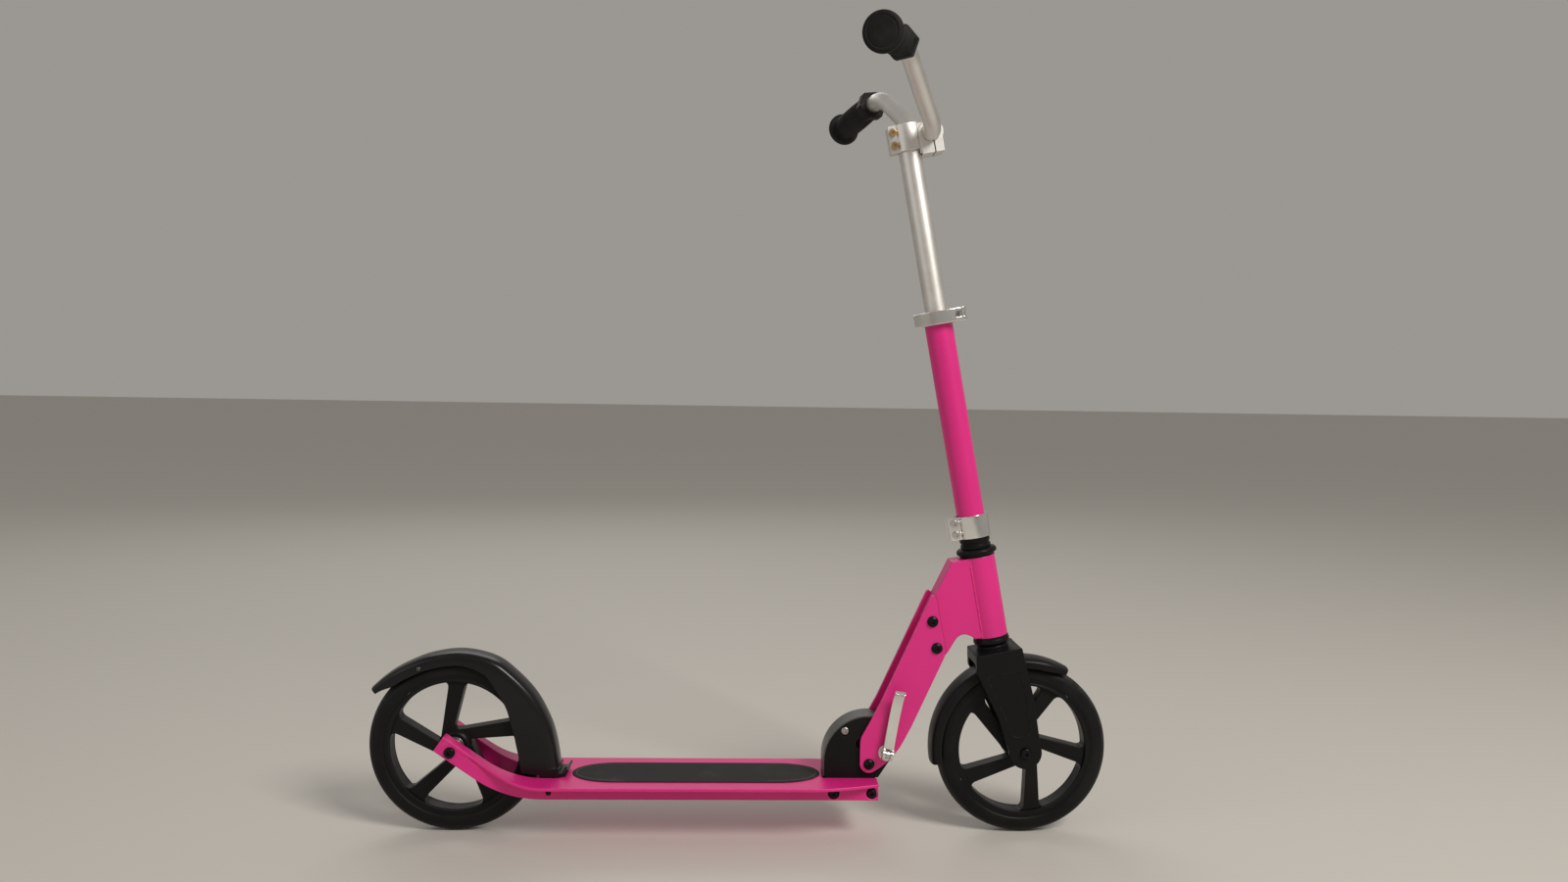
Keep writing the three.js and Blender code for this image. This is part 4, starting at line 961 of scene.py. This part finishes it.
def rear_fender():
    stations = []
    for point, along in catmull(CREST_LINE, 72):
        turn = math.degrees(math.atan2(point.y - WHEEL_RADIUS, point.x))
        half_width = 19.4 - 6 * smoothstep(turn, 112, 146) ** 2
        depth = 44 - 28 * smoothstep(turn, 5, 88) - 7 * smoothstep(turn, 132, 146)
        stations.append((point.x, point.y, -along.y, along.x, half_width, depth))
    shell = fender(stations, 2.6)
    shell = cut(shell, meet(prism(deck_strip(-2.6, 30), -60, 60), box(-60, 99.5, -60, 60, 0, 140)))
    foot = prism([(99, 49.5), (119, 49.5), (119.5, 66.5), (121, 76), (101, 76), (98.2, 70)], -18.4, 18.4)
    lip = prism(filleted([
        (117, DECK_TOP + 0.6), (128, DECK_TOP + 0.6, 1), (132, 74.5, 0.8), (129.6, 75.5, 0.8),
        (125, 70.5, 2), (117, 71),
    ]), -17.5, 17.5)
    whole = softened(join(shell, foot, lip), 0.6, 3, 42)
    return cut(whole, side_hole(BRAKE_PIN, PIN_HOLE, 45))


def brake_pad():
    outer = WHEEL_RADIUS + 5.8
    side = arc(0, WHEEL_RADIUS, outer, 84, 110, 24) + arc(0, WHEEL_RADIUS, outer - 3, 110, 84, 24)
    return softened(prism(side, -8, 8), 0.4, 2)


def brake_rivet():
    profile = [(0, 0.3), (2.6, 0.3), (2.5, 0.9), (2.1, 1.4), (1.4, 1.65), (0.7, 1.6), (0.5, 1.3), (0, 1.25)]
    return shifted(turned(profile, 40), -39.2, 19.4, 191.4)


piece("rear_fender", rear_fender(), "rear_brake", "black_plastic", material=GLOSSY_PLASTIC)
piece("brake_pad", brake_pad(), "rear_brake", "steel")
rivet = brake_rivet()
piece("brake_rivet_right", mirrored(rivet), "rear_brake", "steel", material=DARK_STEEL)
piece("brake_rivet_left", rivet, "rear_brake", "steel", material=DARK_STEEL)


# ---------------------------------------------------------------- folding neck

NECK_BOLTS = {"upper": (548.8, 251), "lower": (554.4, 220)}


def plate_outline():
    x, z = PIVOT
    side = [(x - 10.5, z)] + arc(x, z, 10.5, 180, 306, 16)
    side += bezier([side[-1], (503, 86), (515, 105.5)], 10) + [(527, 128.5), (562.5, 207)]
    side += bezier([(562.5, 207), (565.5, 213), (563.6, 222.5)], 8) + [(553.8, 273)]
    side += bezier([(553.8, 273), (550.5, 286.5), (546, 278.5)], 10) + [(489.5, 153.5), (470, 117.5)]
    side += bezier([(470, 117.5), (x - 10.5, 113), (x - 10.5, 107)], 8)
    return side[1:]


def neck_plate():
    plate = softened(prism(plate_outline(), 16.5, 21.5), 0.7, 3, 40)
    holes = [PIVOT, SKEWER, *NECK_BOLTS.values()]
    return cut(plate, *[across(*hole, rod(BOLT_HOLE, 0, 40)) for hole in holes])


def leant(made):
    """A steering-frame solid turned into the scooter's own drawing frame."""
    return moved(made, SCOOTER.inverted() @ STEERING)


def gusset_outline():
    side = [(573, 324), (551, 278), (539, 252), (541, 212)]
    side += bezier([(541, 212), (543, 204), (552, 205)], 6) + [(562, 206), (568.5, 214.5), (576.5, 228)]
    side += bezier([(576.5, 228), (581, 235.5), (589, 235)], 8)
    side += bezier([(589, 235), (596, 233.5), (600, 229.5)], 6) + [(615, 232), (598, 325)]
    return side


def neck_seam_shade():
    """A dark pink strip round a neck plate where it lies on the gusset: painted shade along the plate's edge.
    """
    return meet(prism(grown(plate_outline(), 0.9), 16, 17.2), prism(gusset_outline(), 10, 30))


def head_tube():
    """The head tube with the hollow-sided gusset welded to its back."""
    gusset = softened(prism(gusset_outline(), -16.2, 16.2), 1.2, 4, 40)
    tube = leant(upright(rod(20, HEAD_LOW, HEAD_HIGH, 0.6), 96))
    hole = leant(upright(rod(17, 120, 245), 72))
    mouth = leant(box(-80, 80, -40, 40, HEAD_HIGH, HEAD_HIGH + 80))
    bolts = [side_hole((x, z), BOLT_HOLE, 40) for x, z in NECK_BOLTS.values()]
    return cut(join(gusset, tube), hole, mouth, *bolts)


def weld_bead(side_sign):
    """The rippled bead where one side of the gusset meets the head tube."""
    rows = []
    steps = 150
    low, high = HEAD_LOW + 4.5, HEAD_HIGH - 3.5
    for i in range(steps + 1):
        height = low + (high - low) * i / steps
        swell = 1.15 + 0.22 * math.sin(i * 1.55) + 0.1 * math.sin(i * 0.37)
        swell *= min(1.0, 0.35 + 8 * min(i, steps - i) / steps)
        centre = Vector((-12.2, side_sign * 16.1, height))
        rows.append([centre + Vector((swell * math.cos(a), swell * math.sin(a), 0))
                     for a in (2 * math.pi * k / 12 for k in range(12))])
    return lofted(rows)


def headset_cup(mouth, outward, ring_radius):
    corners = [
        (14.2, -8), (16.7, -8), (16.7, 0.3), (20.2, 0.3, 0.3), (20.4, 2.6, 0.5), (ring_radius, 4, 0.9),
        (ring_radius, 7.4, 1.4), (ring_radius - 2.4, 9.6, 1), (14.2, 9.6),
    ]
    return upright(filleted([(r, mouth + outward * h, *rest) for r, h, *rest in corners], 5), 96, closed=True)


plate = neck_plate()
piece("neck_plate_right", mirrored(plate), "neck", "pink_paint")
piece("neck_plate_left", plate, "neck", "pink_paint")
piece("head_tube", head_tube(), "neck", "pink_paint")
# painted shade: a dark pink strip along each neck plate's edge on the gusset
seam = neck_seam_shade()
for side, made, bead in (("right", mirrored(seam), weld_bead(-1)), ("left", seam, weld_bead(1))):
    piece(None, made, "neck", "pink_paint", name=f"neck_seam_shade_{side}", material=SEAM_SHADE_PINK)
    piece(None, bead, "neck", "pink_paint", STEERING, 60, f"head_tube_weld_{side}")
for end, (x, z) in NECK_BOLTS.items():
    piece(f"neck_bolt_{end}", through_bolt(x, z, 4, 6.4, 21.8, 3.4), "neck", "black_steel")
piece("pivot_bolt", through_bolt(*PIVOT, 4, 6.3, 21.8, 3.6), "neck", "black_steel")
piece("headset_cup_upper", headset_cup(HEAD_HIGH, 1, 23.4), "neck", "black_paint", STEERING)
piece("headset_cup_lower", headset_cup(HEAD_LOW, -1, 21), "neck", "black_paint", STEERING)


# ---------------------------------------------------------------- fold lever and skewer

AT_LEVER_PIN = Matrix.Translation((SKEWER[0], -31, SKEWER[1])) @ Matrix.Rotation(math.radians(10), 4, "Y")


def skewer():
    shaft = across(*SKEWER, filleted([
        (0, -31), (2.5, -31), (2.5, -24.5, 0.6), (4, -23, 0.6), (4, 27.5, 0.6), (0, 27.5),
    ], 3, closed=False))
    eye = softened(turned_to("X", rod(5, -2.6, 2.6), 48), 0.4, 2)
    pin = turned_to("X", rod(2.3, -7.2, 7.2, 0.4), 32)
    return join(shaft, moved(join(eye, pin), AT_LEVER_PIN))


def fold_lever():
    """The arm bows gently away from the plate and ends in a finger lip turned outwards."""
    bow = [(0, -0.4, 4), (0, 1.2, 20), (0, 2, 38), (0, 0.4, 58), (0, -3.4, 70), (0, -8, 75)]
    arm = swept(catmull(bow, 48), rounded_strip(6.2, 2, 0.9), Vector((1, 0, 0)))
    cam = turned_to("X", rod(6.6, -6.2, 6.2, 0.6), 64)
    lever = cut(join(arm, cam), box(-3, 3, -12, 12, -12, 7), turned_to("X", rod(2.6, -12, 12), 32))
    return moved(softened(lever, 0.3, 2, 50), AT_LEVER_PIN)


piece("skewer", skewer(), "neck", "steel")
washer = across(*SKEWER, ring(BOLT_HOLE, 9.6, -23.9, -21.8, 0.5), 64, closed=True)
piece("lever_washer", washer, "neck", "aluminium")
piece("skewer_nut", across(*SKEWER, filleted([
    (4.3, 21.8), (8.2, 21.8, 0.2), (8.2, 25.5, 0.8), (6.2, 27.9, 0.8), (4.3, 27.9),
], 4), 56, closed=True), "neck", "black_steel")
piece("fold_lever", fold_lever(), "fold_lever", "aluminium", material=POLISHED)


# ---------------------------------------------------------------- fork

FRONT_AXLE = (FORK_OFFSET, 0)


def leg_outline():
    side = [(-25, CROWN_TOP), (-28, 101)]
    side += bezier([side[-1], (-22, 80), (-12, 46)], 12) + [(-6, 7)]
    side += arc(*FRONT_AXLE, 19, 162, 374.4, 36)
    return side + [(32.8, 60), (30, 101), (29, CROWN_TOP)]


def fork():
    """Two blades, a crown with a soft top edge, the race seat and the steerer."""
    blade = softened(prism(leg_outline(), 21.5, 30), 1.3, 4, 40)
    panel = [(-17, 96), (-13, 80), (-3.5, 44), (2.5, 20), (21, 20), (24.5, 60), (22, 96)]
    panel = softened(prism(filleted([(u, v, 4) for u, v in panel], 6), 29.2, 34), 0.5, 2)
    blade = cut(blade, panel)
    other = mirrored(blade)
    crown = prism([(-25, CROWN_TOP), (-27, CROWN_TOP - 12), (29.6, CROWN_TOP - 12), (29, CROWN_TOP)], -30, 30)
    crown = softened(crown, 1.8, 4, 40)
    race = filleted([(0, 117), (18.5, 117), (18.5, 125.6, 1), (17, 127, 0.6), (0, 127)], 4, closed=False)
    race = upright(race, 80)
    steerer = upright(rod(13.4, 117, 292, 0.5), 72)
    whole = join(blade, other, crown, race, steerer)
    return cut(whole, upright(rod(10.5, 112, 300), 56), side_hole(FRONT_AXLE, AXLE_HOLE, 40))


def front_fender():
    stations = []
    front, rear, radius = 50, 179, 108.6
    for i in range(49):
        angle = front + (rear - front) * i / 48
        u, v = math.cos(math.radians(angle)), math.sin(math.radians(angle))
        from_tip = smoothstep(angle, 44, 66)
        stations.append((
            FORK_OFFSET + radius * u, radius * v, -u, -v, 14 + 6.2 * from_tip, 8 + 4.6 * from_tip,
        ))
    return softened(fender(stations, 2.2), 0.5, 2, 50)


piece("fork", fork(), "steering", "black_paint", STEERING)
piece("front_fender", front_fender(), "steering", "black_plastic", STEERING)


# ---------------------------------------------------------------- steering column

def split_clamp(low, high, bore, outer, inner, reach, half_width, slit, bolt_x, bolt_heights):
    """A ring with two ears, a slit between them and holes for its screws."""
    x0, x1 = sorted((inner, reach))
    band = join(upright(rod(outer, low, high), 96), box(x0, x1, -half_width, half_width, low, high))
    band = softened(band, 0.7, 3, 40)
    far = reach * 1.3
    slot = box(min(0, far), max(0, far), -slit, slit, low - 5, high + 5)
    holes = [side_hole((bolt_x, height), SCREW_HOLE) for height in bolt_heights]
    return cut(band, upright(rod(bore, low - 5, high + 5), 72), slot, *holes)


def ear_screw(bolt_x, half_width, z):
    """A socket screw through a clamp's ears, its head on the right."""
    face = -half_width - 0.3
    screw = turned(filleted([
        (0, face - 3.1), (4.4, face - 3.1, 0.7), (4.4, face, 0.2), (2.6, face), (2.6, half_width - 2, 0.4),
        (0, half_width - 2),
    ], 4, closed=False), 56)
    return shifted(cut(screw, turned(rod(2, face - 4, face - 0.9), 6)), bolt_x, 0, z)


piece("headset_collar", upright(filleted([
    (13.8, 242.2), (17.6, 242.2, 0.4), (17.6, 245.8, 0.4), (16.6, 246.4, 0.3), (16.6, 248.8, 0.3),
    (17.6, 249.4, 0.4), (17.6, 254.2, 0.4), (13.8, 254.2),
], 3), 80, closed=True), "steering", "black_paint", STEERING)
lower_clamp = split_clamp(254.6, 281, 16.55, 19.4, -14, -28.5, 11, 1, CLAMP_SCREW_X, CLAMP_SCREWS.values())
piece("steerer_clamp", lower_clamp, "steering", "aluminium", STEERING, material=POLISHED)
for end, height in CLAMP_SCREWS.items():
    piece(f"clamp_screw_{end}", ear_screw(CLAMP_SCREW_X, 11, height), "steering", "steel", STEERING)
tube = upright(ring(13.7, 16.25, 256, 520.6, 0.5), 96, closed=True)
piece("outer_tube", tube, "steering", "pink_paint", STEERING)
collar = split_clamp(
    CLAMP_MIDDLE - 8, CLAMP_MIDDLE + 8, 16.55, 19.8, 14, 31, 9, 1.2, LEVER_PIVOT[0], (CLAMP_MIDDLE,),
)
piece("height_collar", collar, "steering", "aluminium", STEERING)


# ---------------------------------------------------------------- height clamp

def clamp_eyebolt():
    x, y = LEVER_PIVOT
    shaft = across(x, CLAMP_MIDDLE, rod(2.6, y, 12))
    nut = across(x, CLAMP_MIDDLE, rod(5, 9.3, 13, 0.7), 56)
    eye = shifted(upright(rod(4.4, -2.8, 2.8, 0.4), 48), x, y, CLAMP_MIDDLE)
    pin = shifted(upright(rod(2.1, -7, 7, 0.4), 32), x, y, CLAMP_MIDDLE)
    return join(shaft, nut, eye, pin)


def clamp_lever():
    """The lever lies along the clamp's right side and curls round behind it."""
    x, y = LEVER_PIVOT
    path = [(x - 1, y - 3.9), (12, -22.4), (0, -22.9), (-11, -20.8), (-20.5, -14.6), (-27, -5)]
    path = [(u, v, 0) for u, v in path]
    arm = swept(catmull(path, 48), rounded_strip(7.4, 1.7, 0.8), Vector((0, 0, 1)))
    cam = shifted(upright(rod(5.8, -7.4, 7.4, 0.6), 64), x, y, 0)
    pin_hole = shifted(upright(rod(2.4, -12, 12), 32), x, y, 0)
    lever = cut(join(arm, cam), pin_hole, box(17.5, 40, -30, 0, -3.3, 3.3))
    return shifted(softened(lever, 0.3, 2, 50), 0, 0, CLAMP_MIDDLE)


piece("clamp_eyebolt", clamp_eyebolt(), "steering", "steel", STEERING)
piece("clamp_lever", clamp_lever(), "clamp_lever", "aluminium", STEERING, material=POLISHED)


# ---------------------------------------------------------------- stem, handlebar and grips

def inner_tube():
    return upright(filleted([
        (11.2, 468), (13.2, 468, 0.4), (13.2, 736, 0.5), (0, 736), (0, 733.5), (11.2, 733.5), (11.2, 468),
    ], 4), 96)


def stem_clamp():
    """Grips the tube between its rear ears, and the bar in a split lug at the front."""
    tube_grip = join(upright(rod(17.2, 706, 737), 96), box(-22.4, -12, -11, 11, 706, 737))
    lug = join(
        across(*BAR, rod(14.6, -16, 16), 96), box(10, 25, -14, 14, 701, 735),
        box(12, 37.6, -16, 16, 699, BAR[1]),
    )
    whole = softened(join(tube_grip, lug), 0.45, 4, 38)
    cuts = [
        upright(rod(13.5, 680, 760), 72), across(*BAR, rod(BAR_HOLE, -30, 30), 72),
        box(26.4, 27.8, -30, 30, 680, BAR[1]), box(-29, 0, -1, 1, 701, 742),
        shifted(turned_to("X", rod(SCREW_HOLE, 19, 60), 40), 0, 0, LUG_BOLT),
        shifted(turned_to("X", rod(4.7, 33.6, 60), 48), 0, 0, LUG_BOLT),
    ]
    cuts += [side_hole((STEM_SCREW_X, height), SCREW_HOLE) for height in STEM_SCREWS.values()]
    return cut(whole, *cuts)


def pinch_bolt():
    profile = [(0, 20), (2.6, 20, 0.4), (2.6, 33.9), (4.2, 33.9), (4.2, 37.2, 0.5), (0, 37.2)]
    bolt = turned_to("X", filleted(profile, 3, closed=False), 48)
    bolt = cut(bolt, turned_to("X", rod(2, 35.4, 40), 6))
    return shifted(bolt, 0, 0, LUG_BOLT)


BAR_BEND = Vector((BAR[0], 38, BAR[1]))
GRIP_BEND = Vector((-3.6, 113, 797))
GRIP_END = Vector((-46.1, 227, 786.3))
GRIP_LENGTH = 98


def over_y(point):
    return Vector((point.x, -point.y, point.z))


def bar_points(end):
    """The bar's middle line, straight between its bends."""
    corners = [over_y(end), over_y(GRIP_BEND), over_y(BAR_BEND), BAR_BEND, GRIP_BEND, end]
    trims = [22, 20, 20, 22]
    points = [corners[0]]
    for i in range(1, 5):
        here = corners[i]
        first = here + (corners[i - 1] - here).normalized() * trims[i - 1]
        last = here + (corners[i + 1] - here).normalized() * trims[i - 1]
        points += [first] + [Vector(p) for p in bezier([first, here, last], 14)]
    return points + [end]


def round_bar(points, radius):
    """A round bar of 48 sides along the points."""
    rows = []
    turns = [2 * math.pi * k / 48 for k in range(48)]
    for i, point in enumerate(points):
        along = (points[min(i + 1, len(points) - 1)] - points[max(i - 1, 0)]).normalized()
        up = Vector((1, 0, 0)).cross(along).normalized()
        out = along.cross(up)
        rows.append([point + out * radius * math.cos(t) + up * radius * math.sin(t) for t in turns])
    return lofted(rows)


def handlebar():
    """A bent tube, open at both ends inside the grips."""
    along = (GRIP_END - GRIP_BEND).normalized()
    end = GRIP_END - along * 6
    return cut(round_bar(bar_points(end), BAR_RADIUS), round_bar(bar_points(end + along * 10), 8))


def grip_profile():
    """Ribs along the grip between its flange and its round end cap."""
    profile = [(0, 4), (14.2, 4)]
    for i in range(13):
        low = 19 + i * 4.9
        swell = 0.9 * math.sin(math.pi * (low - 15) / 72)
        profile += [(14.3 + swell, low), (14.4 + swell, low + 0.5), (15.15 + swell, low + 0.9),
                    (15.25 + swell, low + 2.5), (14.4 + swell, low + 3.5), (14.3 + swell, low + 3.9)]
    profile += filleted([(14.6, 84), (14.8, 86, 0.8), (19.4, 87.6, 1), (20.5, 90, 1), (20.5, 94.2, 1.4),
                         (19.2, 96.6, 1.2), (16.6, 97.6, 0.7), (15.4, 96.9, 0.5), (13.8, 97.6, 0.6),
                         (9, 98, 2), (0, 98)], 4, closed=False)
    return profile


def grip():
    sleeve = turned(grip_profile(), 96)
    flange = softened(turned([(0, 0), (18.8, 0), (18.8, 13), (15, 17.5), (0, 17.5)], 6), 1.4, 4, 30)
    whole = cut(join(sleeve, flange), turned(rod(BAR_HOLE, -5, 92.6), 64))
    direction = (GRIP_END - GRIP_BEND).normalized()
    turn = Vector((0, 1, 0)).rotation_difference(direction).to_matrix().to_4x4()
    return moved(whole, Matrix.Translation(GRIP_END - direction * GRIP_LENGTH) @ turn)


piece("inner_tube", inner_tube(), "stem", "aluminium", STEERING)
piece("stem_clamp", stem_clamp(), "stem", "aluminium", STEERING)
for end, height in STEM_SCREWS.items():
    screw = ear_screw(STEM_SCREW_X, 11, height)
    piece(f"stem_screw_{end}", screw, "stem", "steel", STEERING, material=YELLOW_ZINC)
piece("pinch_bolt", pinch_bolt(), "stem", "steel", STEERING)
piece("handlebar", handlebar(), "stem", "aluminium", STEERING)
left_grip = grip()
piece("grip_right", mirrored(left_grip), "stem", "grip_rubber", STEERING)
piece("grip_left", left_grip, "stem", "grip_rubber", STEERING)


# ---------------------------------------------------------------- floor, light and camera

def plain_floor():
    mesh = bpy.data.meshes.new("floor")
    mesh.from_pydata([(-30, -30, 0), (30, -30, 0), (30, 30, 0), (-30, 30, 0)], [], [(0, 1, 2, 3)])
    floor = bpy.data.objects.new("floor", mesh)
    bpy.context.scene.collection.objects.link(floor)
    n = Nodes("floor")
    n.done((0.60, 0.575, 0.535, 1), 0.6, n.bump(n.noise(220, 3), 0.0004, 0.3))
    mesh.materials.append(n.material)


def soft_light(name, place, target, size, power, colour):
    data = bpy.data.lights.new(name, "AREA")
    data.shape = "RECTANGLE"
    data.size, data.size_y = size
    data.energy = power
    data.color = colour
    light = bpy.data.objects.new(name, data)
    light.location = place
    light.rotation_euler = (Vector(target) - Vector(place)).to_track_quat("-Z", "Y").to_euler()
    bpy.context.scene.collection.objects.link(light)


plain_floor()
world = bpy.data.worlds.new("studio")
world.use_nodes = True
world.node_tree.nodes["Background"].inputs["Color"].default_value = (0.78, 0.745, 0.69, 1)
world.node_tree.nodes["Background"].inputs["Strength"].default_value = 0.42
bpy.context.scene.world = world
bpy.context.scene.view_settings.view_transform = "Standard"
soft_light("key", (1.7, -2.0, 2.5), (0, 0, 0.4), (1.1, 1.1), 74, (1, 0.965, 0.91))
soft_light("fill", (-2.4, -1.6, 1.4), (0, 0, 0.4), (2.2, 1.8), 9, (1, 0.98, 0.96))
soft_light("back", (-0.6, 2.6, 2.3), (0, 0, 0.4), (2.4, 1.2), 16, (1, 0.99, 0.97))

lens = bpy.data.cameras.new("camera")
lens.lens = 27.6
lens.sensor_width = 36
lens.clip_start = 0.05
camera = bpy.data.objects.new("camera", lens)
camera.location = (-0.0069, -1.3915, 0.5192)
camera.rotation_mode = "QUATERNION"
camera.rotation_quaternion = (
    Matrix.Rotation(math.radians(-2.14), 3, "Z") @ Matrix.Rotation(math.radians(90 - 2.58), 3, "X")
    @ Matrix.Rotation(math.radians(0.88), 3, "Z")
).to_quaternion()
bpy.context.scene.collection.objects.link(camera)
bpy.context.scene.camera = camera
